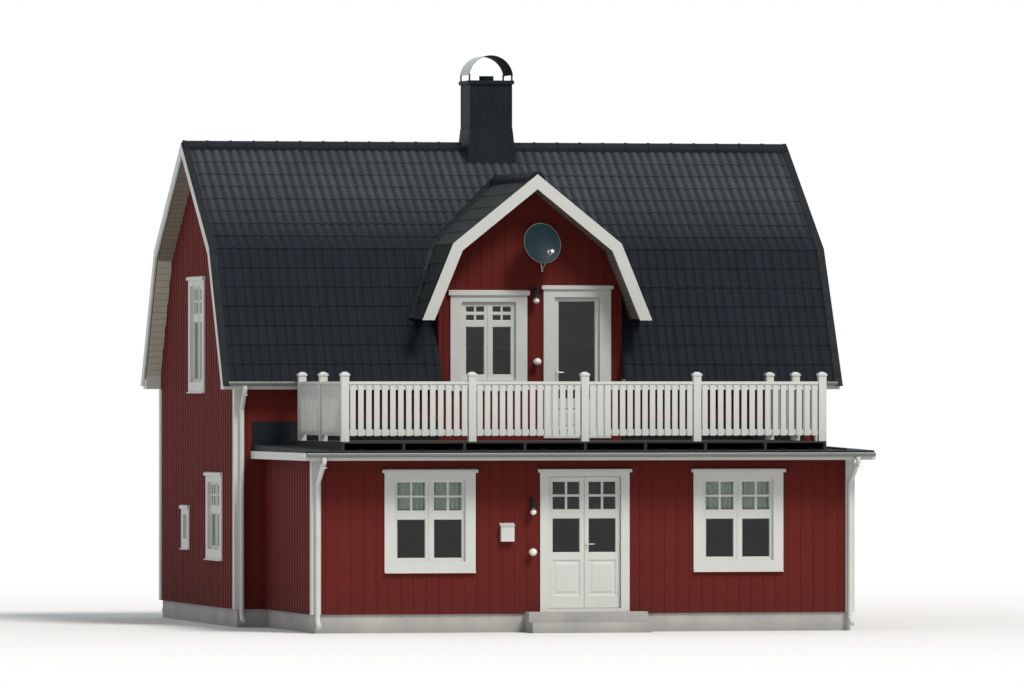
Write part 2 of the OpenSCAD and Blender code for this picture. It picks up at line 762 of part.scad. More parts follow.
// Entrance: jambs, head, threshold and casing round two leaves.
leaf_face = 30;
leaf_w = door_w / 2 - 1.5 * door_gap;
leaf_h = door_h - 2 * door_gap - 20;
leaf_z = plinth_h + 20 + door_gap;
hinge_in = 12;
hinge_x = door_w / 2 - hinge_in;
hinge_r = 9;
hinge_len = 50;
hinge_heights = [220, 1000, 1780];
entrance_trim = [90, 24, 60, 35];
module entrance_frame() color(white)
    translate([0, -veranda_y, plinth_h]) {
        half = door_w / 2;
        difference() {
            union() {
                box([-half - frame_w - entrance_trim[0], -casing_t, step_top + seat],
                    [half + frame_w + entrance_trim[0], 0, door_h + frame_w + entrance_trim[1]]);
                head_cap(half + frame_w, door_h + frame_w + entrance_trim[1], entrance_trim);
                box([-half - frame_w, -eps, 0], [half + frame_w, 130, door_h + frame_w]);
            }
            box([-half, -100, 20], [half, leaf_face + leaf_t + door_gap, door_h]);
            box([-half + 20, 0, 20], [half - 20, 300, door_h - 20]);
        }
        // Lower knuckles of the hinges, each on a lug from the jamb.
        for (s = [-1, 1], z = hinge_heights)
            translate([s * hinge_x, leaf_face - hinge_in, z]) {
                cylinder(r = hinge_r, h = hinge_len, $fn = 24);
                box([s > 0 ? 0 : -hinge_in - 8, -4, 0], [s > 0 ? hinge_in + 8 : 0, 4, hinge_len]);
            }
    }
// A leaf hung on its outer edge: two glazed fields above, a sunk panel below,
// and the upper knuckles of its hinges on lugs from its face.
glass_foot = 860;
leaf_rail = 1466;
stile = 64;
panel_foot = 190;
mid_rail = 110;
panel_sink = 14;
leaf_edge = door_w / 2 - door_gap;
glass_fields = [
    [glass_foot, leaf_rail - plain_trim[6] / 2],
    [leaf_rail + plain_trim[6] / 2, leaf_h - stile]
];
module leaf(side) {
    lo = side > 0 ? leaf_edge - leaf_w : -leaf_edge;
    translate([0, -veranda_y + leaf_face, 0]) {
        difference() {
            box([lo, 0, leaf_z], [lo + leaf_w, leaf_t, leaf_z + leaf_h]);
            for (z = glass_fields)
                box([lo + stile, -eps, leaf_z + z[0]], [lo + leaf_w - stile, leaf_t + eps, leaf_z + z[1]]);
            box([lo + stile, -eps, leaf_z + panel_foot],
                [lo + leaf_w - stile, panel_sink, leaf_z + glass_foot - mid_rail]);
        }
        for (z = hinge_heights)
            translate([side * hinge_x, -hinge_in, plinth_h + z + hinge_len + eps]) {
                cylinder(r = hinge_r, h = hinge_len, $fn = 24);
                box([side > 0 ? -28 : 0, 0, 0], [side > 0 ? 0 : 28, hinge_in + eps, hinge_len]);
            }
    }
}
module leaf_glass(side) {
    lo = side > 0 ? leaf_edge - leaf_w : -leaf_edge;
    translate([0, -veranda_y + leaf_face, leaf_z])
        for (z = glass_fields) box([lo + stile, 22, z[0]], [lo + leaf_w - stile, 22 + glass_t, z[1]]);
}
module entrance_door_left() color(white) leaf(-1);
module entrance_door_right() color(white) {
    leaf(1);
    // Lever handle on its rose, on the outer face of the leading leaf.
    translate([leaf_edge - leaf_w + stile / 2, -veranda_y + leaf_face + eps, plinth_h + 1020]) {
        rotate([90, 0, 0]) cylinder(r = 24, h = 9, $fn = 32);
        rotate([90, 0, 0]) cylinder(r = 9, h = 50, $fn = 24);
        translate([0, -46, 0]) rotate([0, 90, 0]) cylinder(r = 9, h = 120, $fn = 24);
    }
}
module entrance_glass_left() color(glass_colour) leaf_glass(-1);
module entrance_glass_right() color(glass_colour) leaf_glass(1);

// Sheet-clad stack astride the ridge, its skirt and its arched hood.
skirt_w = chimney_w + 160;
flue_r = 100;
module roof_solid() {
    along_x(outline(main_outline, roof_top, plinth_h), -house_x, house_x);
}
module chimney() color(black) difference() {
    union() {
        box([-chimney_w / 2, -chimney_w / 2, plinth_h + 6600],
            [chimney_w / 2, chimney_w / 2, plinth_h + chimney_h - 60]);
        box([-chimney_w / 2 - 30, -chimney_w / 2 - 30, plinth_h + chimney_h - 60],
            [chimney_w / 2 + 30, chimney_w / 2 + 30, plinth_h + chimney_h]);
        translate([0, 0, plinth_h + chimney_h - eps]) cylinder(r = flue_r + 18, h = 80, $fn = 48);
    }
    translate([0, 0, plinth_h + chimney_h - 300]) cylinder(r = flue_r, h = 500, $fn = 48);
    roof_solid();
}
module chimney_flashing() color(black) difference() {
    translate([0, 0, plinth_h + 6900])
        linear_extrude(780, scale = (chimney_w + 16) / skirt_w) square(skirt_w, center = true);
    box([-chimney_w / 2, -chimney_w / 2, 0], [chimney_w / 2, chimney_w / 2, plinth_h + 2 * ridge_h]);
    roof_solid();
}
hood_t = 6;
hood_r = chimney_w / 2 + 20;
module chimney_hood() color(black)
    translate([0, 0, plinth_h + chimney_h]) {
        difference() {
            translate([0, 0, hood_rise - hood_r]) rotate([90, 0, 0])
                linear_extrude(chimney_w, center = true) difference() {
                    circle(r = hood_r, $fn = 64);
                    circle(r = hood_r - hood_t, $fn = 64);
                }
            translate([-2 * hood_r, -2 * hood_r, -4 * hood_r])
                cube([4 * hood_r, 4 * hood_r, 4 * hood_r + 90]);
        }
        for (s = [-1, 1], t = [-1, 1])
            translate([s * (hood_r - 16) - 12, t * (chimney_w / 2 - 30) - 12, 0]) cube([24, 24, 110]);
    }

// Dish on an arm from the gable wall, its receiver on a boom in front.
dish_at = [90, -house_y - 330, plinth_h + 5745];
dish_r = 325;
dish_depth = 75;
dish_steps = 8;
dish_turn = [78, 0, 14];
function dish_z(r) = dish_depth * pow(r / dish_r, 2);
module satellite_dish() color("#39464a")
    translate(dish_at) rotate(dish_turn)
        rotate_extrude($fn = 64) polygon(concat(
            [for (i = [0 : dish_steps]) [dish_r * i / dish_steps, dish_z(dish_r * i / dish_steps)]],
            [for (i = [dish_steps : -1 : 0]) [dish_r * i / dish_steps, dish_z(dish_r * i / dish_steps) - 6]]
        ));
// Round rod from point to point.
module rod(from, to, r) {
    way = to - from;
    translate(from) rotate([0, acos(way[2] / norm(way)), atan2(way[1], way[0])])
        cylinder(r = r, h = norm(way), $fn = 24);
}
// Wall plate, arm, clamp behind the dish, and the boom that carries the
// receiver in front of it.
module dish_bracket() color("#b9bcb8") {
    translate([dish_at[0], -house_y, dish_at[2]]) {
        box([-60, -8, -90], [60, 0, 90]);
        rotate([90, 0, 0]) cylinder(r = 18, h = 290, $fn = 32);
    }
    translate(dish_at) rotate(dish_turn) {
        translate([0, 0, -70]) cylinder(r = 45, h = 64 - seat, $fn = 32);
        rod([0, 0, -52], [0, -437, -30], 10);
        rod([0, -425, -46], [0, -190, 345], 12);
        translate([0, -200, 290]) cylinder(r = 30, h = 100, $fn = 32);
        translate([0, -200, 275]) cylinder(r = 38, h = 22, $fn = 32);
    }
}
module wall_lamp() color(white)
    translate([94, -house_y, plinth_h + 3870]) {
        rotate([90, 0, 0]) cylinder(r = 45, h = 20, $fn = 32);
        rotate([90, 0, 0]) cylinder(r = 14, h = 110, $fn = 24);
        translate([0, -110, 0]) sphere(r = 60, $fn = 32);
    }
// Lantern between window and balcony door: plate, arm and open shade.
lantern_at = [70, -house_y, plinth_h + 5030];
lantern_out = 130;
module wall_lantern() color(black) translate(lantern_at) {
    rotate([90, 0, 0]) cylinder(r = 38, h = 14, $fn = 32);
    rotate([90, 0, 0]) cylinder(r = 10, h = lantern_out, $fn = 24);
    translate([0, -lantern_out, 0]) rotate_extrude($fn = 48)
        polygon([[0, 22], [24, 22], [30, -20], [66, -128], [62, -128], [26, -24], [0, -24]]);
}
module letterbox() color(white)
    translate([-1246, -veranda_y, plinth_h + 1066]) {
        box([-105, -90, 0], [105, 0, 240]);
        along_x([[0, 240], [0, 290], [-105, 240]], -115, 115);
    }

foundation_main();
foundation_veranda();
ground_floor();
veranda_floor();
door_steps();
upper_floor();
left_gable_wall();
right_gable_wall();
front_wall_left();
front_wall_right();
front_wall_over_doorway();
back_wall();
cross_gable_wall();
cross_gable_cheeks();
veranda_left_wall();
veranda_right_wall();
veranda_front_left();
veranda_front_right();
veranda_over_door();
roof_front_upper();
roof_front_lower_left();
roof_front_lower_right();
roof_back_upper();
roof_back_lower();
cross_roof_left();
cross_roof_right();
bargeboards();
eave_boxes();
ridge_caps();
gutters();
downpipes();
corner_boards();
veranda_roof();
veranda_fascia();
wall_flashing();
balcony_deck();
railing_posts();
railing_front();
railing_sides();
front_windows();
gable_windows();
back_windows();
balcony_door();
window_glass_front();
window_glass_gables();
window_glass_back();
entrance_frame();
entrance_door_left();
entrance_door_right();
entrance_glass_left();
entrance_glass_right();
chimney();
chimney_flashing();
chimney_hood();
satellite_dish();
dish_bracket();
wall_lamp();
wall_lantern();
letterbox();
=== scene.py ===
"""Looks of the timber house by the lake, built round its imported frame."""

import fnmatch
import json
import random
from collections import namedtuple
from math import copysign, cos, dist, hypot, inf, pi, radians, sin, tan

import bmesh
import bpy
from mathutils import Euler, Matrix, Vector


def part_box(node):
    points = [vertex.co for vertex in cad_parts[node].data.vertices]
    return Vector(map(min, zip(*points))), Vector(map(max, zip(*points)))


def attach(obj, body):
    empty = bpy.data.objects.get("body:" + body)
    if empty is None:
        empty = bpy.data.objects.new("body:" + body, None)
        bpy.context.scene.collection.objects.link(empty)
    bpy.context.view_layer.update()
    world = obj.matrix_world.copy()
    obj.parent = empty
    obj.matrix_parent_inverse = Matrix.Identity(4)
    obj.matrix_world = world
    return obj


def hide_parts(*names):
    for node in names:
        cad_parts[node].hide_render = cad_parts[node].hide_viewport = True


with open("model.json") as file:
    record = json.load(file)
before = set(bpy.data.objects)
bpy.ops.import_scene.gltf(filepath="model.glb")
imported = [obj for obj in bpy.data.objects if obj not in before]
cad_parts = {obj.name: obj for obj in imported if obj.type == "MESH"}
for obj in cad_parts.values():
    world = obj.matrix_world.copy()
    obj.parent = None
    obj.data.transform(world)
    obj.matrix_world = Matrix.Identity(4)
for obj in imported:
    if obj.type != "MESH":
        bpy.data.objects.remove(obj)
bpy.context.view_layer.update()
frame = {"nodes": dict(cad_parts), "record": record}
nodes = frame["nodes"]
rng = random.Random(11)

# Main faces of the house, in metres, from the frame.
HOUSE_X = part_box("right_gable_wall")[1].x
HOUSE_Y = -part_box("front_wall_left")[0].y
VERANDA_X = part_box("veranda_right_wall")[1].x
VERANDA_Y = -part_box("veranda_front_left")[0].y
WALL_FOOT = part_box("left_gable_wall")[0].z
SOFFIT_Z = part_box("eave_boxes")[0].z
FLASHING_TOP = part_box("wall_flashing")[1].z
VERANDA_ROOF_LO, VERANDA_ROOF_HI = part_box("veranda_roof")
VERANDA_TOP = VERANDA_ROOF_LO.z
DECK_LO, DECK_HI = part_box("balcony_deck")
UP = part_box("ground_floor")[1].z
GABLE_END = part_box("roof_front_upper")[1].x
CROSS_WALL_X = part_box("cross_gable_wall")[1].x
CROSS_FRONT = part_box("cross_roof_left")[0].y
HOOD_LO, HOOD_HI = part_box("chimney_hood")
HOOD_AXIS_Z = HOOD_HI.z - HOOD_HI.x

# Sizes that the frame's parts have too, and those of the tiles.
CORNER_BOARD = 0.12
COVER_T = 0.04
ROOF_UNDER = 0.24
CROSS_UNDER = 0.19
EAVE_OUT = 0.355
TILE_W = 0.30
ROLLS = 2


class Gambrel:
    """Outline of a gambrel roof at a depth below its covering."""

    def __init__(self, ridge, break_z, break_w, eave_z, eave_w):
        self.ridge, self.break_z, self.break_w = ridge, break_z, break_w
        self.eave_z, self.eave_w = eave_z, eave_w
        self.flat = (ridge - break_z) / break_w
        self.steep = (break_z - eave_z) / (eave_w - break_w)

    def ridge_at(self, depth):
        return self.ridge - depth * hypot(1, self.flat)

    def steep_at(self, depth, w):
        return self.break_z - depth * hypot(1, self.steep) - self.steep * (w - self.break_w)

    def bend(self, depth):
        w = (self.steep_at(depth, 0) - self.ridge_at(depth)) / (self.steep - self.flat)
        return w, self.ridge_at(depth) - self.flat * w

    def top(self, depth, w):
        return min(self.ridge_at(depth) - self.flat * abs(w), self.steep_at(depth, abs(w)))

    def half_width(self, depth, z):
        return (self.steep_at(depth, 0) - z) / self.steep

    def planes(self, depth, axis):
        """Its four planes as (point, outward normal); axis is the ridge's."""
        found = []
        for sign in (-1, 1):
            for pitch, z in ((self.flat, self.ridge_at(depth)), (self.steep, self.steep_at(depth, 0))):
                out = Vector((0, sign * pitch, 1)) if axis == 0 else Vector((sign * pitch, 0, 1))
                found.append((Vector((0, 0, z)), out.normalized()))
        return found


MAIN = Gambrel(ridge=7.775, break_z=6.05, break_w=2.39, eave_z=3.85, eave_w=HOUSE_Y + EAVE_OUT)
CROSS = Gambrel(ridge=7.22, break_z=6.11, break_w=1.385, eave_z=4.88, eave_w=1.89)


class Wall:
    """A wall face: s runs along it, d out of it, z up."""

    def __init__(self, origin, right, out):
        self.origin, self.right, self.out = Vector(origin), Vector(right), Vector(out)

    def at(self, s, d, z):
        return self.origin + self.right * s + self.out * d + Vector((0, 0, z))


def side_wall(x):
    """Face of a side wall; s runs towards the lake."""
    return Wall((x, 0, 0), (0, -1, 0), (copysign(1, x), 0, 0))


FRONT = Wall((0, -HOUSE_Y, 0), (1, 0, 0), (0, -1, 0))
LAKE = Wall((0, -VERANDA_Y, 0), (1, 0, 0), (0, -1, 0))
BACK = Wall((0, HOUSE_Y, 0), (-1, 0, 0), (0, 1, 0))
LEFT, RIGHT = side_wall(-HOUSE_X), side_wall(HOUSE_X)
SIDES = ((-1, "left"), (1, "right"))


def link(name, data):
    """A new object in the scene."""
    obj = bpy.data.objects.new(name, data)
    bpy.context.scene.collection.objects.link(obj)
    return obj


class Part:
    """Solids and sheets for one mesh, with a shade for each face."""

    def __init__(self):
        self.verts, self.faces, self.shades = [], [], []

    def add(self, verts, faces, shade=0.0):
        start = len(self.verts)
        self.verts += [tuple(v) for v in verts]
        self.faces += [[start + i for i in f] for f in faces]
        self.shades += [shade] * len(faces)

    def prism(self, bottom, top, shade=0.0):
        n = len(bottom)
        sides = [(i, (i + 1) % n, n + (i + 1) % n, n + i) for i in range(n)]
        self.add([*bottom, *top], [tuple(range(n))[::-1], tuple(range(n, 2 * n)), *sides], shade)

    def upright(self, outline, z0, z1, shade=0.0):
        """An (x, y) outline from z0 up to z1."""
        self.prism([(x, y, z0) for x, y in outline], [(x, y, z1) for x, y in outline], shade)

    def level(self, section, x0, x1):
        """A (y, z) section from x0 to x1."""
        self.prism([(x0, y, z) for y, z in section], [(x1, y, z) for y, z in section])

    def box(self, lo, hi, shade=0.0):
        (x0, y0, z0), (x1, y1, z1) = lo, hi
        self.upright([(x0, y0), (x1, y0), (x1, y1), (x0, y1)], z0, z1, shade)

    def wall_box(self, wall, s, d, z):
        """A box on a wall, s, d and z each from low to high."""
        ring = [(s[0], d[0]), (s[1], d[0]), (s[1], d[1]), (s[0], d[1])]
        self.prism(*([wall.at(a, b, height) for a, b in ring] for height in z))

    def loops(self, rings, endless=False):
        """Skins rings of points, back to the first or with both ends closed."""
        n, count = len(rings[0]), len(rings)
        faces = []
        for i in range(count if endless else count - 1):
            a, b = i * n, (i + 1) % count * n
            faces += [(a + j, a + (j + 1) % n, b + (j + 1) % n, b + j) for j in range(n)]
        if not endless:
            last = (count - 1) * n
            faces += [tuple(range(n))[::-1], tuple(range(last, last + n))]
        self.add([p for ring in rings for p in ring], faces)

    def sheet(self, lines, shade=0.0):
        """An open skin over lines of points."""
        n = len(lines[0])
        starts = range(0, n * (len(lines) - 1), n)
        faces = [(k + i, k + i + 1, k + n + i + 1, k + n + i) for k in starts for i in range(n - 1)]
        self.add([p for line in lines for p in line], faces, shade)

    def build(self, name, material, body="house", smooth=None, bevel=0.0, closed=True, carve=()):
        mesh = bpy.data.meshes.new(name)
        mesh.from_pydata(self.verts, [], self.faces)
        mesh.attributes.new("shade", "FLOAT", "FACE").data.foreach_set("value", self.shades)
        bm = bmesh.new()
        bm.from_mesh(mesh)
        for planes in carve:
            carve_out(bm, planes)
        if closed:
            bmesh.ops.recalc_face_normals(bm, faces=bm.faces)
        bm.to_mesh(mesh)
        bm.free()
        obj = link(name, mesh)
        mesh.materials.append(material)
        if smooth is not None:
            mesh.shade_smooth()
            mesh.set_sharp_from_angle(angle=radians(smooth))
        if bevel:
            rounding = obj.modifiers.new("edges", "BEVEL")
            rounding.width = bevel
            rounding.segments = 1
            rounding.limit_method = "ANGLE"
        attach(obj, body)
        return obj


def carve_out(bm, planes):
    """Takes away what lies behind all the planes."""
    for point, out in planes:
        geometry = [*bm.verts, *bm.edges, *bm.faces]
        bmesh.ops.bisect_plane(bm, geom=geometry, plane_co=point, plane_no=out, dist=1e-5)
    inner = [
        f for f in bm.faces
        if all((f.calc_center_median() - point).dot(out) < 0 for point, out in planes)
    ]
    bmesh.ops.delete(bm, geom=inner, context="FACES")


class Graph:
    """A node tree; a socket takes a value or another node's output."""

    def __init__(self, tree):
        self.tree = tree

    def add(self, kind, inputs=None, **props):
        made = self.tree.nodes.new(kind)
        for key, value in props.items():
            setattr(made, key, value)
        for key, value in (inputs or {}).items():
            self.join(made.inputs[key], value)
        return made

    def join(self, socket, value):
        if isinstance(value, bpy.types.NodeSocket):
            self.tree.links.new(value, socket)
        elif hasattr(value, "__len__") and len(value) == 3 and socket.type == "RGBA":
            socket.default_value = (*value, 1)
        else:
            socket.default_value = value

    def math(self, kind, a, b=0.0, c=0.0):
        return self.add("ShaderNodeMath", {0: a, 1: b, 2: c}, operation=kind).outputs[0]

    def seen(self):
        """1 for what the camera sees, mirrored and through glass too."""
        path = self.add("ShaderNodeLightPath").outputs
        reflected = self.math("MAXIMUM", path["Is Camera Ray"], path["Is Glossy Ray"])
        return self.math("MAXIMUM", reflected, path["Is Transmission Ray"])


class Shader(Graph):
    """A procedural material round the Principled shader, its base colour built up in tints."""

    def __init__(self, name, tone, **sockets):
        self.tone = tone
        self.mat = bpy.data.materials.new(name)
        self.mat.use_nodes = True
        super().__init__(self.mat.node_tree)
        self.bsdf = self.tree.nodes["Principled BSDF"]
        coords = self.add("ShaderNodeTexCoord").outputs
        self.place, self.facing = coords["Object"], coords["Normal"]
        for key, value in sockets.items():
            self.put(key.replace("_", " "), value)

    def put(self, name, value):
        self.join(self.bsdf.inputs[name], value)

    def tint(self, share, colour):
        self.tone = self.mix(share, self.tone, colour)

    def done(self):
        self.put("Base Color", self.tone)
        return self.mat

    def noise(self, scale, detail, stretch=None):
        place = self.place
        if stretch:
            place = self.add("ShaderNodeMapping", {"Vector": place, "Scale": stretch}).outputs[0]
        inputs = {"Vector": place, "Scale": scale, "Detail": detail, "Roughness": NOISE_ROUGH}
        return self.add("ShaderNodeTexNoise", inputs).outputs["Fac"]

    def spread(self, value, lo, hi, low=0.0, high=1.0):
        """Value from lo to hi, as low to high."""
        inputs = {"Value": value, "From Min": lo, "From Max": hi, "To Min": low, "To Max": high}
        return self.add("ShaderNodeMapRange", inputs, clamp=True).outputs[0]

    def patches(self, scale, detail, lo, hi, low=0.0, high=1.0):
        return self.spread(self.noise(scale, detail), lo, hi, low, high)

    def shades(self, high):
        """0 up to high, by the faces' own shade."""
        shade = self.add("ShaderNodeAttribute", attribute_name="shade").outputs["Fac"]
        return self.spread(shade, -1, 1, 0.0, high)

    def mix(self, share, a, b):
        return self.add("ShaderNodeMix", {0: share, 6: a, 7: b}, data_type="RGBA").outputs[2]

    def vector(self, kind, a, b=None):
        return self.add("ShaderNodeVectorMath", {0: a} if b is None else {0: a, 1: b}, operation=kind)

    def axis(self, name, vector=None):
        split = self.add("ShaderNodeSeparateXYZ", {0: self.place if vector is None else vector})
        return split.outputs[name]

    def bump(self, height, distance, strength):
        normal = self.bsdf.inputs["Normal"]
        made = self.add("ShaderNodeBump", {"Height": height, "Distance": distance, "Strength": strength})
        if normal.is_linked:
            self.tree.links.new(normal.links[0].from_socket, made.inputs["Normal"])
        self.join(normal, made.outputs[0])

    def within(self, lo, hi):
        """1 inside a box of the row frame, 0 outside it."""
        middle = [(a + b) / 2 for a, b in zip(lo, hi)]
        half = [(b - a) / 2 for a, b in zip(lo, hi)]
        out = self.vector("ABSOLUTE", self.vector("SUBTRACT", self.place, middle).outputs[0]).outputs[0]
        past = self.vector("SUBTRACT", out, half).outputs[0]
        x, y, z = (self.axis(n, past) for n in "XYZ")
        furthest = self.math("MAXIMUM", x, self.math("MAXIMUM", y, z))
        return self.math("LESS_THAN", furthest, 0.0)


NOISE_ROUGH = 0.55
RED = (0.118, 0.0130, 0.0098)
RED_DARK = (0.088, 0.0105, 0.0080)
RED_FADED = (0.142, 0.0185, 0.0140)
RED_SPLASHED = (0.060, 0.0180, 0.0130)
WHITE = (0.590, 0.600, 0.570)
WHITE_WORN = (0.480, 0.485, 0.445)
# Inside faces of the walls: a painted shade for the dim rooms.
INDOOR_SHADE = (0.034, 0.030, 0.026)
MEMBRANE = (0.014, 0.017, 0.021)
SHEET = (0.0090, 0.0125, 0.0150)
SHEET_DUSTY = (0.018, 0.023, 0.026)
SHEET_PALE = (0.040, 0.045, 0.048)
GROOVE = 0.005
SPLASH_H = 0.5
SPLASH = 0.30
# Share of the paler dust and painted highlight that the troughs keep; the crowns keep all of it.
TROUGH_DUST_AND_SHEEN = 0.30


def times(colour, factor):
    return tuple(factor * c for c in colour)


def red_paint(name, rooms=()):
    """Red boards, darker in patches and near the ground; inside the given rooms painted dark as painted
    shade.
    """
    s = Shader(name, RED, Roughness=0.8, Specular_IOR_Level=0.15)
    grain = s.noise(9.0, 4.0, (14, 14, 0.6))
    s.tint(s.spread(grain, 0.3, 0.75, 0.0, 0.8), RED_DARK)
    s.tint(s.math("MULTIPLY", s.patches(0.9, 2.0, 0.35, 0.7), 0.35), RED_DARK)
    s.tint(s.shades(0.35), RED_FADED)
    s.tint(s.spread(s.axis("Z"), WALL_FOOT, WALL_FOOT + SPLASH_H, SPLASH, 0.0), RED_SPLASHED)
    # Inside the rooms the boards are painted dark, a painted shade seen through the windows.
    for lo, hi in rooms:
        s.tint(s.within(lo, hi), INDOOR_SHADE)
    s.bump(grain, 0.0016, 0.7)
    s.bump(s.noise(60.0, 3.0), 0.0006, 0.5)
    return s.done()


def white_paint(name, along=2):
    """White paint, its grain along one axis."""
    s = Shader(name, WHITE, Roughness=0.5, Specular_IOR_Level=0.35)
    stretch = [12, 12, 12]
    stretch[along] = 0.7
    grain = s.noise(6.0, 4.0, stretch)
    s.tint(s.spread(grain, 0.45, 0.8, 0.0, 0.35), WHITE_WORN)
    s.tint(s.patches(1.7, 3.0, 0.5, 0.75, 0.0, 0.25), WHITE_WORN)
    s.tint(s.shades(0.18), WHITE_WORN)
    s.bump(grain, 0.0006, 0.6)
    s.bump(s.noise(120.0, 2.0), 0.0003, 0.4)
    return s.done()


def tile_glaze(name, dark, pale, low=0.0, high=0.01, width=None):
    """Dark tiles, paler above a height: dust, and a painted sky reflection; over a given width most on the
    rolls' crowns, a painted highlight.
    """
    s = Shader(name, dark, Specular_IOR_Level=0.08)
    dusty = times(pale, 1.35)
    # Paler above a height: partly dust, partly a painted reflection of the sky on the flatter slopes.
    bleached_and_sheen = s.spread(s.axis("Z"), low, high)
    bleached_and_sheen = s.math("MULTIPLY", bleached_and_sheen, s.patches(0.8, 3.0, 0.25, 0.75, 0.75, 1.0))
    # Over a given width, the rolls' crowns paler than the troughs: a painted highlight.
    if width:
        pitch = width / round(width / TILE_W) / ROLLS
        place = s.math("ADD", s.axis("X"), width / 2)
        wave = s.math("COSINE", s.math("MULTIPLY", place, 2 * pi / pitch))
        bleached_and_sheen = s.math("MULTIPLY", bleached_and_sheen, s.spread(wave, -1, 1, 1.0, TROUGH_DUST_AND_SHEEN))
    # worn and dusty here give dust, and the colour of the painted sky reflection.
    worn = s.mix(s.patches(3.0, 5.0, 0.45, 0.8, 0.0, 0.6), pale, dusty)
    s.tint(s.shades(0.35), times(dark, 1.6))
    s.tint(bleached_and_sheen, s.mix(s.shades(0.35), worn, dusty))
    s.tint(s.patches(160.0, 2.0, 0.62, 0.75, 0.0, 0.3), dusty)
    s.put("Roughness", s.patches(14.0, 4.0, 0.3, 0.7, 0.58, 0.72))
    s.bump(s.noise(220.0, 2.0), 0.0005, 0.6)
    s.bump(s.noise(25.0, 3.0), 0.0010, 0.5)
    return s.done()


def folded_sheet(name, colour, dusty):
    """Satin black sheet with dusty streaks down it."""
    s = Shader(name, colour, Specular_IOR_Level=0.1)
    s.tint(s.spread(s.noise(5.0, 4.0, (6, 6, 0.8)), 0.4, 0.75, 0.0, 0.6), dusty)
    s.put("Roughness", s.patches(9.0, 3.0, 0.3, 0.7, 0.55, 0.7))
    s.bump(s.noise(2.2, 1.0), 0.006, 0.25)
    s.bump(s.noise(90.0, 2.0), 0.0002, 0.4)
    return s.done()


def painted_sheet(name, colour, worn, rough=0.4, specular=0.35):
    s = Shader(name, colour, Roughness=rough, Specular_IOR_Level=specular)
    s.tint(s.patches(4.0, 4.0, 0.45, 0.8, 0.0, 0.5), worn)
    s.bump(s.noise(150.0, 2.0), 0.0002, 0.4)
    return s.done()


def boards(name, colour, dark, pitch, across, rough, above=None):
    """Boards side by side across one axis; above colours faces that don't look down."""
    s = Shader(name, colour, Roughness=rough, Specular_IOR_Level=0.25)
    stretch = [1.2, 1.2, 1.2]
    stretch[across] = 14
    grain = s.noise(7.0, 5.0, stretch)
    place = s.math("DIVIDE", s.axis("XYZ"[across]), pitch)
    part = s.math("FRACT", place)
    number = s.math("FLOOR", place)
    each = s.add("ShaderNodeTexWhiteNoise", {"W": number}, noise_dimensions="1D").outputs["Value"]
    s.tint(s.spread(grain, 0.3, 0.75), dark)
    s.tint(s.spread(each, 0, 1, 0.0, 0.4), dark)
    edge = s.math("MINIMUM", part, s.math("SUBTRACT", 1.0, part))
    board = s.spread(edge, 0.0, GROOVE / pitch)
    s.tone = s.mix(board, times(dark, 0.25), s.tone)
    if above is not None:
        s.tone = s.mix(s.math("LESS_THAN", s.axis("Z", s.facing), -0.2), above, s.tone)
    s.bump(board, 0.004, 0.8)
    s.bump(grain, 0.0008, 0.5)
    return s.done()


def sawn_deck():
    """Weathered deck boards, each of its own grey."""
    s = Shader("deck_boards", (0.062, 0.057, 0.052), Roughness=0.85, Specular_IOR_Level=0.15)
    grain = s.noise(8.0, 5.0, (0.8, 16, 16))
    s.tint(s.spread(grain, 0.3, 0.75), (0.038, 0.035, 0.032))
    s.tint(s.shades(0.65), (0.027, 0.025, 0.024))
    s.bump(grain, 0.0015, 0.7)
    return s.done()


def cast_concrete():
    """Blotched concrete, darker towards the ground."""
    s = Shader("concrete", (0.42, 0.41, 0.385), Roughness=0.85)
    s.tint(s.patches(1.6, 5.0, 0.3, 0.7), (0.31, 0.305, 0.29))
    s.tint(s.spread(s.axis("Z"), 0.0, 0.18, 0.5, 0.0), (0.19, 0.195, 0.17))
    s.bump(s.noise(40.0, 4.0), 0.0015, 0.6)
    s.bump(s.noise(6.0, 3.0), 0.004, 0.3)
    return s.done()


def window_pane(name, ior):
    s = Shader(name, (0.75, 0.84, 0.80), Roughness=0.02, IOR=ior, Transmission_Weight=1.0)
    s.bump(s.noise(1.3, 1.0), 0.0012, 0.3)
    return s.done()


def galvanised():
    s = Shader("bare_metal", (0.50, 0.51, 0.51), Metallic=1.0)
    s.tint(s.patches(30.0, 3.0, 0.3, 0.7), (0.62, 0.63, 0.63))
    s.put("Roughness", s.patches(18.0, 3.0, 0.3, 0.7, 0.32, 0.52))
    return s.done()


def hood_sheet():
    """Zinc-coated sheet, dark inside the arch: soot, and painted shade."""
    s = Shader("hood_sheet", (0.010, 0.010, 0.010), Specular_IOR_Level=0.12)
    z = s.math("SUBTRACT", s.axis("Z"), HOOD_AXIS_Z)
    across = s.math("MULTIPLY", s.axis("X", s.facing), s.axis("X"))
    up = s.math("MULTIPLY", s.axis("Z", s.facing), z)
    outside = s.math("GREATER_THAN", s.math("ADD", across, up), 0.1)
    s.tint(s.patches(7.0, 4.0, 0.3, 0.7), (0.026, 0.024, 0.022))
    # Only the outer faces get the zinc; inside the arch stays dark, soot and a painted shade.
    s.tint(outside, s.mix(s.patches(26.0, 3.0, 0.3, 0.7), (0.40, 0.43, 0.45), (0.50, 0.53, 0.55)))
    s.put("Metallic", s.math("MULTIPLY", outside, 0.6))
    s.put("Roughness", s.spread(outside, 0, 1, 0.9, s.patches(18.0, 3.0, 0.3, 0.7, 0.42, 0.58)))
    return s.done()


def opal():
    s = Shader("lamp_glass", (0.82, 0.80, 0.74), Roughness=0.18, Coat_Weight=0.3)
    s.tint(s.patches(20.0, 2.0, 0.3, 0.7), (0.78, 0.77, 0.72))
    return s.done()


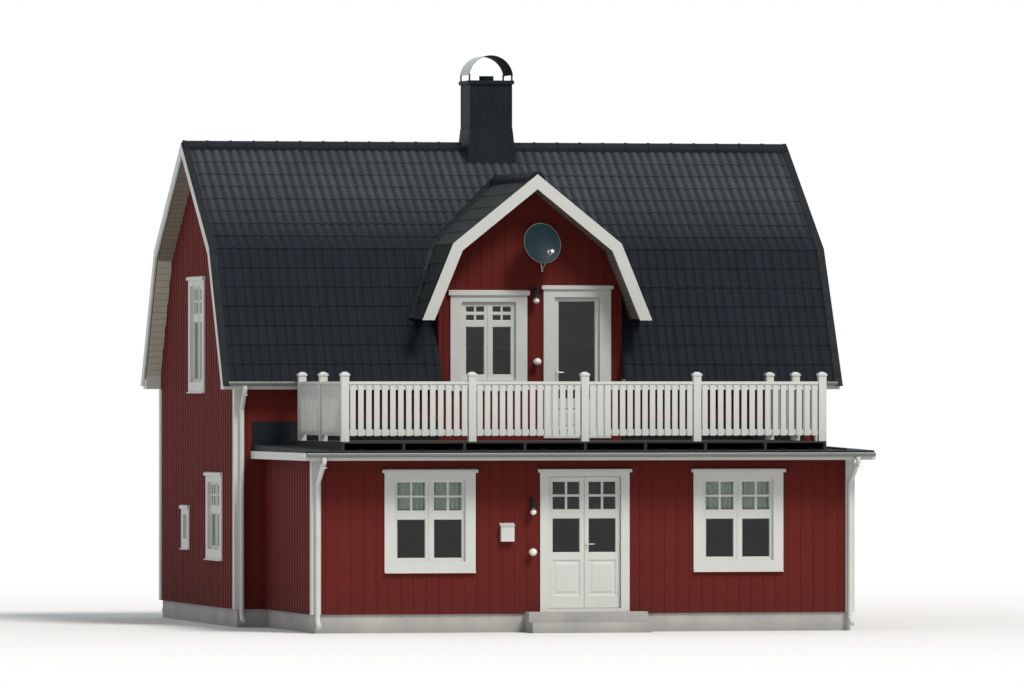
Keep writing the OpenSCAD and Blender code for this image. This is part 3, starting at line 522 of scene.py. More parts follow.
def curtain_cloth():
    s = Shader("curtain", (0.66, 0.67, 0.63), Roughness=0.9)
    weave = s.noise(400.0, 2.0)
    s.tint(s.spread(weave, 0.3, 0.7), (0.52, 0.53, 0.50))
    s.bump(weave, 0.0003, 0.5)
    return s.done()


def room(x, y0, y1):
    """A box inside the walls, from the ground past the roof."""
    return (-x, y0, 0), (x, y1, 9)


main_room = room(HOUSE_X - 0.06, -HOUSE_Y + 0.06, HOUSE_Y - 0.06)
gable_room = room(CROSS_WALL_X - 0.05, -HOUSE_Y + 0.06, 0)
veranda_room = room(VERANDA_X - 0.05, -VERANDA_Y + 0.05, -HOUSE_Y - 0.01)

m_red = red_paint("red_boarding")
m_red_main = red_paint("red_boarding_main", [main_room])
m_red_cross = red_paint("red_boarding_cross", [gable_room])
m_red_veranda = red_paint("red_boarding_veranda", [veranda_room])
m_white = white_paint("white_timber")
m_white_x = white_paint("white_timber_level", 0)
# Main tiles: paler on the upper slopes above the break, partly a painted sky reflection.
m_tiles_main = tile_glaze("roof_tiles_main", (0.0080, 0.0107, 0.0150), (0.052, 0.057, 0.064),
                          MAIN.break_z + 0.05, MAIN.break_z + 0.95, 2 * GABLE_END)
# The cross roof's tiles: the same tiles, paler all over as a painted sky reflection.
m_tiles_cross_sheen = tile_glaze("roof_tiles_cross_painted_sheen", (0.0190, 0.0250, 0.0265), (0.0230, 0.0290, 0.0300))
m_tiles_ridge = tile_glaze("roof_tiles_ridge", (0.0090, 0.0120, 0.0170), (0.0120, 0.0150, 0.0200))
m_sheet = folded_sheet("black_sheet", SHEET, SHEET_DUSTY)
m_roof_sheet = folded_sheet("roof_sheet", SHEET_DUSTY, SHEET_PALE)
m_white_metal = painted_sheet("white_metal", (0.58, 0.59, 0.56), (0.49, 0.495, 0.465))
# Gutters and their straps: the white metal made mid grey, a painted shade.
m_gutter_shaded = painted_sheet("gutter_metal_painted_shade", (0.190, 0.198, 0.186), (0.148, 0.153, 0.143))
m_dish = painted_sheet("dish_paint", (0.010, 0.027, 0.034), (0.016, 0.037, 0.045), 0.5, 0.12)
# The dish's rim paler than the dish, a painted highlight where it catches the light.
m_dish_rim_highlight = painted_sheet("dish_rim", (0.13, 0.15, 0.15), (0.09, 0.105, 0.105), 0.5, 0.3)
# Undersides of the flatter slopes: the same painted boards as under the steep ones, much darker as painted
# shade.
m_under_flat_shaded = boards("soffit_flat_painted_shade", (0.250, 0.216, 0.170), (0.185, 0.160, 0.126), 0.07, 2, 0.7, MEMBRANE)
m_under_steep = boards("soffit_steep", (0.540, 0.510, 0.435), (0.450, 0.420, 0.350), 0.105, 2, 0.7, MEMBRANE)
m_floor = boards("floor_boards", (0.34, 0.22, 0.12), (0.24, 0.15, 0.08), 0.14, 1, 0.45)
m_deck = sawn_deck()
m_concrete = cast_concrete()
m_glass = window_pane("glass", 1.33)
m_glass_gables = window_pane("glass_gables", 1.5)
m_bare = galvanised()
m_hood = hood_sheet()
m_opal = opal()
m_cloth = curtain_cloth()

BY_SLOT = {
    "concrete": m_concrete, "floor_boards": m_floor, "roof_tiles": m_tiles_main, "black_sheet": m_sheet,
    "white_metal": m_white_metal, "white_timber": m_white, "glass": m_glass, "deck_boards": m_deck,
    "dish_paint": m_dish, "bare_metal": m_bare, "lamp_glass": m_opal, "red_boarding": m_red,
}
BY_NODE = (
    (m_red_main, "*_gable_wall front_wall_* back_wall"),
    (m_red_cross, "cross_gable_wall"),
    (m_red_veranda, "veranda_*_wall veranda_front_* veranda_over_door"),
    (m_under_flat_shaded, "roof_*_upper cross_roof_*"),
    (m_under_steep, "roof_*_lower*"),
    (m_tiles_ridge, "ridge_caps"),
    (m_gutter_shaded, "gutters"),
    (m_hood, "chimney_hood"),
    (m_white_x, "eave_boxes veranda_fascia"),
    (m_roof_sheet, "veranda_roof"),
    (m_glass_gables, "window_glass_gables"),
)
# Slots of the materials that only scene pieces wear, or that stand in for a slot's usual one.
SLOT_OF = {material: slot for slot, material in BY_SLOT.items()}
SLOT_OF |= {m_tiles_cross_sheen: "roof_tiles", m_roof_sheet: "black_sheet", m_gutter_shaded: "white_metal",
            m_dish_rim_highlight: "dish_paint", m_cloth: "white_timber"}


def dress_nodes():
    """The materials of the frame's nodes, by slot unless a name pattern says otherwise."""
    own = {
        node: look for look, names in BY_NODE
        for name in names.split() for node in fnmatch.filter(nodes, name)
    }
    for row in frame["record"]["subparts"]:
        obj = nodes[row["node"]]
        obj.data.materials.clear()
        obj.data.materials.append(own.get(row["node"], BY_SLOT[row["material_slot"]]))


dress_nodes()

# Roof tiles: two rolls across, each row's lower edge over the row below it.
TILE_ROW = 0.34
ROLL_STEPS = 8
ROLL_H = 0.020
LIP = 0.011
SIDE_LIP = 0.003
TILE_BED = 0.002
TILE_SHIFT = 0.002
TILE_OVER = 0.012
RIDGE_HALF = 0.1155
VALLEY_GAP = 0.045
STACK_GAP = 0.04


def roll(share):
    return 0.5 - 0.5 * cos(2 * pi * ROLLS * share)


def tile_field(name, material, slab, shift, along, width, carve):
    """Tiles on one slope; shift goes from the roof's middle to a corner of the slab."""
    part = Part()
    top, down, start, end = slab
    top = top + shift
    normal = along.cross(down)
    if normal.z < 0:
        normal = -normal
    columns = round(width / TILE_W)
    rows = round((end - start) / TILE_ROW)
    tile_w = width / columns
    row_h = (end - start) / rows
    steps = ROLLS * ROLL_STEPS
    shares = [0.0] + [i / steps for i in range(steps + 1)]
    for r in range(rows):
        for c in range(columns):
            lift = rng.uniform(0.0, 0.0010)
            slip = rng.uniform(-TILE_SHIFT, TILE_SHIFT)
            heights = [TILE_BED + lift + ROLL_H * roll(a) + SIDE_LIP * (1 - a) for a in shares]
            heights[0] = 0.001
            head, foot = start + r * row_h, start + (r + 1) * row_h + slip
            lines = [
                [
                    top + along * ((c + a) * tile_w) + down * v + normal * max(h + extra, 0.0005)
                    for a, h in zip(shares, heights)
                ]
                for v, extra in ((head, 0.0), (foot, LIP), (foot, -0.001))
            ]
            part.sheet(lines, rng.uniform(-1, 1))
    mesh = part.build(name, material, smooth=40, closed=False, carve=carve).data
    if sum((p.normal * p.area for p in mesh.polygons), Vector()).dot(normal) < 0:
        mesh.flip_normals()


def slope(roof, steep, out):
    """A slope's slab over the roof's middle: its top, the way down, and where tiles start and end."""
    w, z = roof.bend(COVER_T)
    ridge = roof.ridge_at(COVER_T)
    if steep:
        top, pitch = out * w + Vector((0, 0, z)), roof.steep
        reach = (0.0, (z - roof.eave_z - TILE_OVER) * hypot(1, pitch) / pitch)
    else:
        top, pitch = Vector((0, 0, ridge)), roof.flat
        reach = (RIDGE_HALF * hypot(1, pitch), hypot(w, ridge - z) + TILE_OVER)
    return top, (out - Vector((0, 0, pitch))).normalized(), *reach


def upright_planes(x0, x1, y0, y1):
    """The four sides of a block as (point, outward normal)."""
    return [
        (Vector((x0, 0, 0)), Vector((-1, 0, 0))), (Vector((x1, 0, 0)), Vector((1, 0, 0))),
        (Vector((0, y0, 0)), Vector((0, -1, 0))), (Vector((0, y1, 0)), Vector((0, 1, 0))),
    ]


def roof_tiles():
    """The eight slopes, cut out where stack, cheeks and the other roof are."""
    lo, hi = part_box("chimney_flashing")
    stack = upright_planes(lo.x + STACK_GAP, hi.x - STACK_GAP, lo.y + STACK_GAP, hi.y - STACK_GAP)
    cheeks = upright_planes(-CROSS_WALL_X, CROSS_WALL_X, 0, 0)[:2]
    cross = [*CROSS.planes(-VALLEY_GAP, 1), (Vector((0, 0, CROSS.eave_z)), Vector((0, 0, -1)))]
    levels = ((False, "upper"), (True, "lower"))
    along_x, along_y = Vector((1, 0, 0)), Vector((0, 1, 0))
    for side, word in ((-1, "front"), (1, "back")):
        for steep, level in levels:
            holes = [] if steep else [stack]
            if side < 0:
                holes += [cross, cheeks] if steep else [cross]
            tile_field(f"tiles_{word}_{level}", m_tiles_main, slope(MAIN, steep, side * along_y),
                       -GABLE_END * along_x, along_x, 2 * GABLE_END, holes)
    for side, word in SIDES:
        for steep, level in levels:
            tile_field(f"tiles_cross_{word}_{level}", m_tiles_cross_sheen, slope(CROSS, steep, side * along_x),
                       CROSS_FRONT * along_y, along_y, -CROSS_FRONT, [MAIN.planes(-VALLEY_GAP, 0)])


VALLEY_REACH = 0.13
VALLEY_LAYERS = ((COVER_T - 0.001, (0, 1, 2)), (COVER_T - 0.005, (2, 1, 0)))
VALLEY_FOOT = 0.022


def valley_point(depth, x):
    """Where the two coverings meet in front, at a distance from the middle."""
    z = CROSS.top(depth, x)
    w = (MAIN.ridge_at(depth) - z) / MAIN.flat
    if w > MAIN.bend(depth)[0]:
        w = MAIN.half_width(depth, z)
    return w, z


def valley_sheets():
    """Folded sheets in the valleys, lying on both slabs."""
    xs = [0.0, CROSS.bend(COVER_T)[0], CROSS.half_width(COVER_T, MAIN.bend(COVER_T)[1]),
          CROSS.half_width(COVER_T, CROSS.eave_z + VALLEY_FOOT)]
    for side, word in SIDES:
        part = Part()
        rings = [[] for x in xs]
        for x, ring in zip(xs, rings):
            for depth, order in VALLEY_LAYERS:
                w, z = valley_point(depth, x)
                spots = [(x + VALLEY_REACH, -w), (x, -w), (x, -w - VALLEY_REACH)]
                ring += [(side * spots[k][0], spots[k][1], z) for k in order]
        part.loops(rings)
        part.build(f"valley_sheet_{word}", m_sheet)


def outline_point(roof, axis, u, depth, k, foot_z):
    """Corner k of a roof's outline at a depth, u along its ridge."""
    w = roof.half_width(depth, foot_z)
    bend_w, bend_z = roof.bend(depth)
    corner = [(-w, foot_z), (-bend_w, bend_z), (0, roof.ridge_at(depth)), (bend_w, bend_z), (w, foot_z)][k]
    return Vector((u, corner[0], corner[1])) if axis == 0 else Vector((corner[0], u, corner[1]))


def along_outline(part, roof, axis, section, foot_z):
    """Runs a section of (u, depth) round the whole outline."""
    part.loops([[outline_point(roof, axis, u, depth, k, foot_z) for u, depth in section] for k in range(5)])


BARGE_T = 0.03
VERGE_REACH = 0.09
VERGE_DEPTH = 0.038
VERGE_LAP = 0.0095
VERGE_FOOT = 0.02


def verge_section(inner, edge, outer):
    return [(inner, VERGE_DEPTH), (inner, 0.0), (outer, 0.0), (outer, VERGE_LAP), (edge, VERGE_LAP),
            (edge, VERGE_DEPTH)]


def verge_strips():
    """Folded sheets over the bargeboards' tops."""
    part = Part()
    for sign in (-1, 1):
        places = (sign * (GABLE_END - VERGE_REACH), sign * GABLE_END, sign * (GABLE_END + BARGE_T))
        along_outline(part, MAIN, 0, verge_section(*places), MAIN.eave_z - VERGE_FOOT)
    places = (CROSS_FRONT + VERGE_REACH, CROSS_FRONT, CROSS_FRONT - BARGE_T)
    along_outline(part, CROSS, 1, verge_section(*places), CROSS.eave_z)
    part.build("verge_strips", m_sheet)


# Battens over the joints of the wall boards.
BATTEN_W = 0.040
BATTEN_T = 0.008
BATTEN_PITCH = 0.198
BATTEN_MIN = 0.03
STRIP_MIN = 0.004


def batten(part, wall, s0, s1, foot, top, breaks, openings, shade):
    """One batten, left out over openings and split at the roof line's breaks."""
    cuts = {s0, s1}
    cuts |= {e for o in openings for e in o[:2] if s0 < e < s1}
    cuts |= {b for b in breaks if s0 < b < s1}
    cuts = sorted(cuts)
    for a, b in zip(cuts, cuts[1:]):
        if b - a < STRIP_MIN:
            continue
        middle = (a + b) / 2
        blocks = sorted((o[2], o[3]) for o in openings if o[0] < middle < o[1])
        z = foot
        for lo, hi in [*blocks, (inf, inf)]:
            if min(lo, top(middle)) - z > BATTEN_MIN:
                za, zb = (top(a), top(b)) if lo >= top(middle) else (lo, lo)
                ring = [(a, 0), (b, 0), (b, BATTEN_T), (a, BATTEN_T)]
                low = [wall.at(u, d, z) for u, d in ring]
                high = [wall.at(u, d, za if u == a else zb) for u, d in ring]
                part.prism(low, high, shade)
            z = max(z, hi)


def cladding(name, wall, s_lo, s_hi, foot, top, openings=(), breaks=()):
    """Battens of one wall face; top is their height, or gives it at each place."""
    part = Part()
    roof_line = top if callable(top) else lambda s: top
    count = max(1, round((s_hi - s_lo) / BATTEN_PITCH))
    pitch = (s_hi - s_lo) / count
    for i in range(count):
        middle = s_lo + (i + 0.5) * pitch
        shade = rng.uniform(-1, 1)
        edges = (middle - BATTEN_W / 2, middle + BATTEN_W / 2)
        batten(part, wall, *edges, foot, roof_line, breaks, openings, shade)
    part.build(f"battens_{name}", m_red)


# Windows and doors as in the frame. Trim: casing at the sides and head, cap with its overhang, stiles, rail.
Trim = namedtuple("Trim", "side head cap over stile meeting rail")
Window = namedtuple("Window", "middle sill width height share trim")
PLAIN = Trim(0.115, 0.050, 0.060, 0.035, 0.045, 0.132, 0.130)
CROWN = Trim(0.140, 0.058, 0.083, 0.035, 0.072, 0.132, 0.096)
CASING_FOOT = 0.137
FRAME_W = 0.045
FACE_D = -0.022
GLASS_D = -0.0418
CROSS_WINDOW = Window(-0.683, 3.540 + UP, 0.975, 1.333, 0.296, CROWN)
VERANDA_WINDOW = Window(2.468, 0.715 + UP, 1.216, 1.370, 0.441, PLAIN)
GABLE_WINDOWS = (
    Window(0.0, 3.500 + UP, 1.100, 1.650, 0.34, PLAIN),
    Window(1.500, 0.820 + UP, 1.100, 1.170, 0.42, PLAIN),
    Window(-0.960, 0.950 + UP, 0.410, 0.480, 0.0, PLAIN),
)
BACK_WINDOWS = tuple(VERANDA_WINDOW._replace(middle=x) for x in (-2.9, 0.0, 2.9))
DOOR_X, DOOR_FOOT, DOOR_W, DOOR_H = 0.767, 2.650 + UP, 0.826, 2.300
DOOR_HEAD, DOOR_CAP = 0.080, 0.063
ENTRANCE_HALF, ENTRANCE_TOP = 0.715, 2.139 + UP


def casing_holes(middle, half, foot, head, trim):
    """What a casing and its wider cap cover of the wall, as s and z limits."""
    side, over, top = half + trim.side, half + trim.side + trim.over, head + trim.cap
    return [(middle - side, middle + side, foot, top), (middle - over, middle + over, head, top)]


def window_holes(windows):
    return [hole for w in windows for hole in casing_holes(
        w.middle, w.width / 2, w.sill - CASING_FOOT, w.sill + w.height + w.trim.head, w.trim)]


def mirrored(window):
    return window._replace(middle=-window.middle)


def wall_claddings():
    entrance = casing_holes(0.0, ENTRANCE_HALF - PLAIN.side, 0.0, ENTRANCE_TOP, PLAIN)
    lake_holes = window_holes([VERANDA_WINDOW, mirrored(VERANDA_WINDOW)]) + entrance
    edge = VERANDA_X - CORNER_BOARD
    cladding("veranda_front", LAKE, -edge, edge, WALL_FOOT, VERANDA_TOP, lake_holes)
    for sign, word in SIDES:
        cladding(f"veranda_{word}", side_wall(sign * VERANDA_X), HOUSE_Y + 0.02,
                 VERANDA_Y - CORNER_BOARD, WALL_FOOT, VERANDA_TOP)
    flashing_x = VERANDA_ROOF_HI.x + 0.03
    flashing = (-flashing_x, flashing_x, VERANDA_TOP, FLASHING_TOP)
    for sign, word in SIDES:
        ends = sorted((sign * VERANDA_X, sign * (HOUSE_X - CORNER_BOARD)))
        cladding(f"front_{word}_side", FRONT, *ends, WALL_FOOT, SOFFIT_Z, [flashing])
        ends = sorted((sign * CROSS_WALL_X, sign * VERANDA_X))
        cladding(f"front_{word}", FRONT, *ends, FLASHING_TOP, SOFFIT_Z)
    door_trim = CROWN._replace(head=DOOR_HEAD, cap=DOOR_CAP)
    balcony = casing_holes(DOOR_X, DOOR_W / 2, DECK_HI.z, DOOR_FOOT + DOOR_H + DOOR_HEAD, door_trim)
    bend = CROSS.bend(CROSS_UNDER)[0]
    cladding("cross_gable", FRONT, -CROSS_WALL_X, CROSS_WALL_X, DECK_HI.z,
             lambda s: CROSS.top(CROSS_UNDER, s), window_holes([CROSS_WINDOW]) + balcony, (-bend, 0, bend))
    edge = HOUSE_X - CORNER_BOARD
    cladding("back", BACK, -edge, edge, WALL_FOOT, SOFFIT_Z, window_holes(BACK_WINDOWS))
    bend = MAIN.bend(ROOF_UNDER)[0]
    edge = HOUSE_Y - CORNER_BOARD
    for word, wall in (("left", LEFT), ("right", RIGHT)):
        cladding(f"gable_{word}", wall, -edge, edge, WALL_FOOT, lambda s: MAIN.top(ROOF_UNDER, s),
                 window_holes(GABLE_WINDOWS), (-bend, 0, bend))


# Sashes: a putty bead round each pane, and the glazing bars.
BEAD = 0.010
BAR_W = 0.038
THIN_BAR = 0.024
CROSS_BAR = 0.055
CHAMFER = 0.008
BAR_SINK = 0.002


def pane_ring(wall, pane, inset, d):
    """The four corners of a pane moved inwards, at depth d."""
    s0, s1, z0, z1 = pane
    a, b, c, e = s0 + inset, s1 - inset, z0 + inset, z1 - inset
    return [wall.at(a, d, c), wall.at(b, d, c), wall.at(b, d, e), wall.at(a, d, e)]


def bead(part, wall, pane, face, glass, width=BEAD):
    """A sloping bead along a pane's edges, from the face down to the glass."""
    corners = ((-0.001, face - 0.002), (width, glass), (-0.001, glass))
    part.loops([pane_ring(wall, pane, inset, d) for inset, d in corners], endless=True)


def pane_bars(part, wall, pane, face, glass, upright=BAR_W, level=BAR_W):
    """An upright and a level bar across a pane, both chamfered."""
    s0, s1, z0, z1 = pane

    def section(middle, width, front):
        lo, hi, back = middle - width / 2, middle + width / 2, front - CHAMFER
        chamfers = [(lo, back), (lo + CHAMFER, front), (hi - CHAMFER, front), (hi, back)]
        return [(lo, glass), *chamfers, (hi, glass)]

    across = section((s0 + s1) / 2, upright, face)
    part.prism(*([wall.at(a, d, z) for a, d in across] for z in (z0, z1)))
    across = section((z0 + z1) / 2, level, face - BAR_SINK)
    part.prism(*([wall.at(s, d, a) for a, d in across] for s in (s0, s1)))


def window_panes(window):
    """Large panes of a window, and small ones above its rail."""
    trim = window.trim
    half = window.width / 2 - FRAME_W
    foot = window.sill + FRAME_W + trim.stile
    top = window.sill + window.height - FRAME_W - trim.stile
    if window.share == 0:
        reach = half - trim.stile
        return [], [(window.middle - reach, window.middle + reach, foot, top)]
    rail_z = window.sill + window.height * (1 - window.share)
    sides = [sorted((window.middle + sign * trim.meeting / 2, window.middle + sign * (half - trim.stile)))
             for sign in (-1, 1)]
    large = [(*s, foot, rail_z - trim.rail / 2) for s in sides]
    return large, [(*s, rail_z + trim.rail / 2, top) for s in sides]


def window_sashes(name, wall, windows, level=BAR_W):
    part = Part()
    for window in windows:
        large, small = window_panes(window)
        bars = (BAR_W, level) if window.share else (THIN_BAR, THIN_BAR)
        for pane in large + small:
            bead(part, wall, pane, FACE_D, GLASS_D)
        for pane in small:
            pane_bars(part, wall, pane, FACE_D - BAR_SINK, GLASS_D, *bars)
    part.build(f"sashes_{name}", m_white)


def all_sashes():
    window_sashes("cross_window", FRONT, [CROSS_WINDOW], CROSS_BAR)
    window_sashes("veranda_right", LAKE, [VERANDA_WINDOW])
    window_sashes("veranda_left", LAKE, [mirrored(VERANDA_WINDOW)])
    window_sashes("gable_left", LEFT, GABLE_WINDOWS)
    window_sashes("gable_right", RIGHT, GABLE_WINDOWS)
    window_sashes("back", BACK, BACK_WINDOWS)


def circle(sides):
    """Cosine and sine of evenly spaced turns."""
    turns = (2 * pi * k / sides for k in range(sides))
    return [(cos(a), sin(a)) for a in turns]


def tube(part, points, radius, sides=14):
    """A round tube along points, its ends closed."""
    rings = []
    for i, p in enumerate(points):
        before = (p - points[i - 1]).normalized() if i else None
        after = (points[i + 1] - p).normalized() if i < len(points) - 1 else None
        way = ((before or after) + (after or before)).normalized()
        side = way.cross(Vector((1, 0, 0)) if abs(way.x) < 0.9 else Vector((0, 1, 0))).normalized()
        up = side.cross(way).normalized()
        rings.append([p + (side * a + up * b) * radius for a, b in circle(sides)])
    part.loops(rings)


def peg(part, wall, place, d, radius, sides=14):
    """A round bar out of a wall, over the range d, at (s, z)."""
    s, z = place
    tube(part, [wall.at(s, end, z) for end in d], radius, sides)


def rounded(points, radius, steps=5):
    """A path with an arc at each inner corner."""
    path = [points[0]]
    for a, b, c in zip(points, points[1:], points[2:]):
        one, two = (a - b).normalized(), (c - b).normalized()
        half = one.angle(two) / 2
        reach = radius / tan(half)
        centre = b + (one + two).normalized() * (radius / sin(half))
        start, end = b + one * reach - centre, b + two * reach - centre
        sweep = start.angle(end)
        for i in range(steps + 1):
            back, on = (sin(share * sweep) / sin(sweep) for share in (1 - i / steps, i / steps))
            path.append(centre + (start * back + end * on))
    return [*path, points[-1]]


# Gutters and downpipes; drops are measured down from the gutter's axis.
Eave = namedtuple("Eave", "wall_y gutter_y gutter_z elbow_drop foot_drop pipe_x")
PIPE_R = 0.038
GUTTER_R = 0.06
BEAD_R = 0.006
MAIN_EAVE = Eave(HOUSE_Y, HOUSE_Y + 0.27 + GUTTER_R, 3.895, 0.12, 0.42, HOUSE_X - 0.09)
VERANDA_EAVE = Eave(VERANDA_Y, VERANDA_Y + 0.51 + GUTTER_R, 2.79, 0.135, 0.48, VERANDA_X - 0.06)
PIPE_OFF_WALL = 0.026
PIPE_BEND = 0.055
SHOE_TOP = 0.20
SHOE_END = 0.10
SHOE_OUT = 0.12
CLAMP_LOW = 0.55
CLAMP_UNDER_BEND = 0.2
CLAMP_H = 0.022
CLAMP_HALF = 0.012
CLAMP_T = 0.003
SOCKET_T = 0.004
SOCKET = (-0.09, -0.075)
STRAP_PITCH = 0.7
STRAP_HALF = 0.012
STRAP_END = 0.06
STRAP_STEPS = 12
STRAP_T = 0.004
GUTTER_IN = 0.06
GUTTER_PAST = 0.03


def downpipe(name, eave, side_x, side):
    """Swan neck, pipe, clamps and shoe of one downpipe; side is -1 towards the lake."""
    part = Part()
    x = side_x * eave.pipe_x
    pipe_y = eave.wall_y + PIPE_R + PIPE_OFF_WALL
    top, bend = eave.gutter_z, eave.gutter_z - eave.foot_drop
    path = [(eave.gutter_y, top - GUTTER_R + 0.003), (eave.gutter_y, top - eave.elbow_drop), (pipe_y, bend),
            (pipe_y, SHOE_TOP), (pipe_y + SHOE_OUT, SHOE_END)]
    corners = [Vector((x, side * y, z)) for y, z in path]
    tube(part, rounded(corners, PIPE_BEND), PIPE_R)
    last = bend - CLAMP_UNDER_BEND
    near, far = sorted((side * eave.wall_y, side * pipe_y))
    for z in (CLAMP_LOW, (CLAMP_LOW + last) / 2, last):
        tube(part, [Vector((x, side * pipe_y, z + rise)) for rise in (0, CLAMP_H)], PIPE_R + CLAMP_T, 20)
        part.box((x - CLAMP_HALF, near, z), (x + CLAMP_HALF, far, z + CLAMP_H))
    for corner in corners[1:3]:
        tube(part, [corner + Vector((0, 0, rise)) for rise in SOCKET], PIPE_R + SOCKET_T, 20)
    return part.build(f"downpipe_{name}", m_white_metal, smooth=35)


def downpipes():
    for side_x, word in SIDES:
        for side_y, end in ((-1, "front"), (1, "back")):
            downpipe(f"main_{word}_{end}", MAIN_EAVE, side_x, side_y)
        obj = downpipe(f"veranda_{word}", VERANDA_EAVE, side_x, -1)
    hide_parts("downpipes")


def half_round(y, z, across, down):
    """The lower half of an ellipse round a gutter's axis."""
    turns = [pi * (1 + k / STRAP_STEPS) for k in range(STRAP_STEPS + 1)]
    return [(y + across * cos(a), z + down * sin(a)) for a in turns]


def gutter_fittings():
    """Rolled front edges and the straps that hold the gutters."""
    part, beads = Part(), Part()
    end, inner, low_end = GABLE_END - GUTTER_IN, CROSS_WALL_X + GUTTER_PAST, VERANDA_ROOF_HI.x
    runs = [(-end, -inner, MAIN_EAVE, -1), (inner, end, MAIN_EAVE, -1), (-end, end, MAIN_EAVE, 1),
            (-low_end, low_end, VERANDA_EAVE, -1)]
    for x0, x1, eave, side in runs:
        y, z = side * eave.gutter_y, eave.gutter_z
        bead_y = y + side * (GUTTER_R - BEAD_R - 0.0006)
        tube(beads, [Vector((x, bead_y, z - 0.001)) for x in (x0, x1)], BEAD_R, 8)
        count = round((x1 - x0) / STRAP_PITCH)
        for i in range(count + 1):
            x = x0 + STRAP_END + (x1 - x0 - 2 * STRAP_END) * i / count
            outer = half_round(y, z, GUTTER_R - 0.0005, GUTTER_R + 0.002)
            inner_side = half_round(y, z, GUTTER_R - STRAP_T, GUTTER_R - STRAP_T)
            part.level([*outer, *inner_side[::-1]], x - STRAP_HALF, x + STRAP_HALF)
    part.build("gutter_straps", m_gutter_shaded, smooth=35)
    beads.build("gutter_beads", m_white_metal, smooth=35)


# Deck and veranda roof.
BOARD_W = 0.12
BOARD_GAP = 0.005
BOARD_T = 0.028
JOIST_W = 0.045
JOISTS = 9
ROOF_FALL = 0.065
SEAM_HALF = 0.004
SEAM_H = 0.025
EDGE_GAP = 0.08
DECK_OFF_WALL = 0.012
SEAM_OFF_WALL = 0.014
UPSTAND_SEAM = ((-0.006, 0.006), (0.012, 0.024))
CHEEK_GAP = 0.05
UPSTAND_BAYS = 15
DRIP = ((0, 0), (0.045, 0.006), (0.045, 0.036), (0.041, 0.036), (0.041, 0.0105), (0, 0.0045))


def joist_places():
    return [DECK_LO.x + i * (DECK_HI.x - DECK_LO.x - JOIST_W) / (JOISTS - 1) for i in range(JOISTS)]


def veranda_roof_at(y):
    """Height of the veranda roof, y in front of the house's middle."""
    return VERANDA_ROOF_HI.z - ROOF_FALL * (y - HOUSE_Y) / (-VERANDA_ROOF_LO.y - HOUSE_Y)


def deck():
    """Boards in two lengths each, with joints on the joists."""
    part = Part()
    y_front, y_back = DECK_LO.y, -HOUSE_Y - DECK_OFF_WALL
    under = DECK_HI.z - BOARD_T
    count = int((y_back - y_front + BOARD_GAP) / (BOARD_W + BOARD_GAP))
    width = (y_back - y_front + BOARD_GAP) / count - BOARD_GAP
    joists = joist_places()
    for i in range(count):
        y = y_front + i * (width + BOARD_GAP)
        joint = joists[2 + (i * 3) % 5] + JOIST_W / 2
        for x0, x1 in ((DECK_LO.x, joint - 0.001), (joint + 0.001, DECK_HI.x)):
            top = DECK_HI.z - rng.uniform(0.0, 0.0008)
            part.box((x0, y, under), (x1, y + width, top), rng.uniform(-1, 1))
    section = [(y_back, veranda_roof_at(-y_back)), (y_back, under), (y_front, under),
               (y_front, veranda_roof_at(-y_front))]
    for x in joists:
        part.level(section, x, x + JOIST_W)
    obj = part.build("deck_boards", m_deck, bevel=0.002)
    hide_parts("balcony_deck")


def veranda_seams():
    """Seams of the veranda roof and its upstand, and the drip edge."""
    part = Part()
    y0, y1 = VERANDA_ROOF_LO.y, -HOUSE_Y - SEAM_OFF_WALL
    x_lo, x_hi = VERANDA_ROOF_LO.x, VERANDA_ROOF_HI.x
    first, second = joist_places()[:2]
    pitch = (second - first) / 2
    x = first + pitch / 2 + JOIST_W / 2 - pitch * 2
    while x < x_hi - EDGE_GAP:
        if x > x_lo + EDGE_GAP:
            lo, hi, front = x - SEAM_HALF, x + SEAM_HALF, y0 + 0.004
            ring = [(lo, front), (hi, front), (hi, y1), (lo, y1)]
            part.prism(*([(a, b, veranda_roof_at(-b) + rise) for a, b in ring] for rise in (0.0, SEAM_H)))
        x += pitch
    for k in range(1, UPSTAND_BAYS):
        x = x_lo + k * (x_hi - x_lo) / UPSTAND_BAYS
        if abs(x) > CROSS_WALL_X + CHEEK_GAP:
            across, depth = UPSTAND_SEAM
            heights = (VERANDA_ROOF_HI.z + 0.03, FLASHING_TOP - 0.004)
            part.wall_box(FRONT, [x + a for a in across], depth, heights)
    part.level([(y0 - a, veranda_roof_at(-y0) - b) for a, b in DRIP], x_lo, x_hi)
    part.build("veranda_roof_seams", m_roof_sheet)


# Entrance and balcony door.
LEAF_D = -0.030
LEAF_GLASS_D = -0.0518
LEAF_FOOT = UP + 0.026
LEAF_RAIL = (1.401, 1.531)
LEAF_PANEL = (0.190, 0.750)
DOOR_STILE = 0.064
DOOR_RAIL = 0.620
DOOR_PANEL = (0.150, 0.480)
HANDLE_UP = 1.05
HANDLE_HALF = 0.018
HANDLE_PLATE = (-0.12, 0.06)
HANDLE_T = 0.006
LEVER = (-0.006, 0.115)
LEVER_OUT = 0.022
LEVER_R = 0.009
FLAP_Z = (0.175, 0.205)
FLAP_IN = 0.025
FLAP_D = 0.0925
FLAP_T = 0.003
PANEL_SINK = 0.014
PANEL_BEAD = 0.016
FIELD = ((0.040, -0.0005), (0.072, 0.009))


def raised_panel(part, wall, panel, face):
    """Moulding in the edge of a sunk panel, and its raised field."""
    bottom = face - PANEL_SINK
    bead(part, wall, panel, face, bottom - 0.0005, PANEL_BEAD)
    part.prism(*(pane_ring(wall, panel, inset, bottom + d) for inset, d in FIELD))


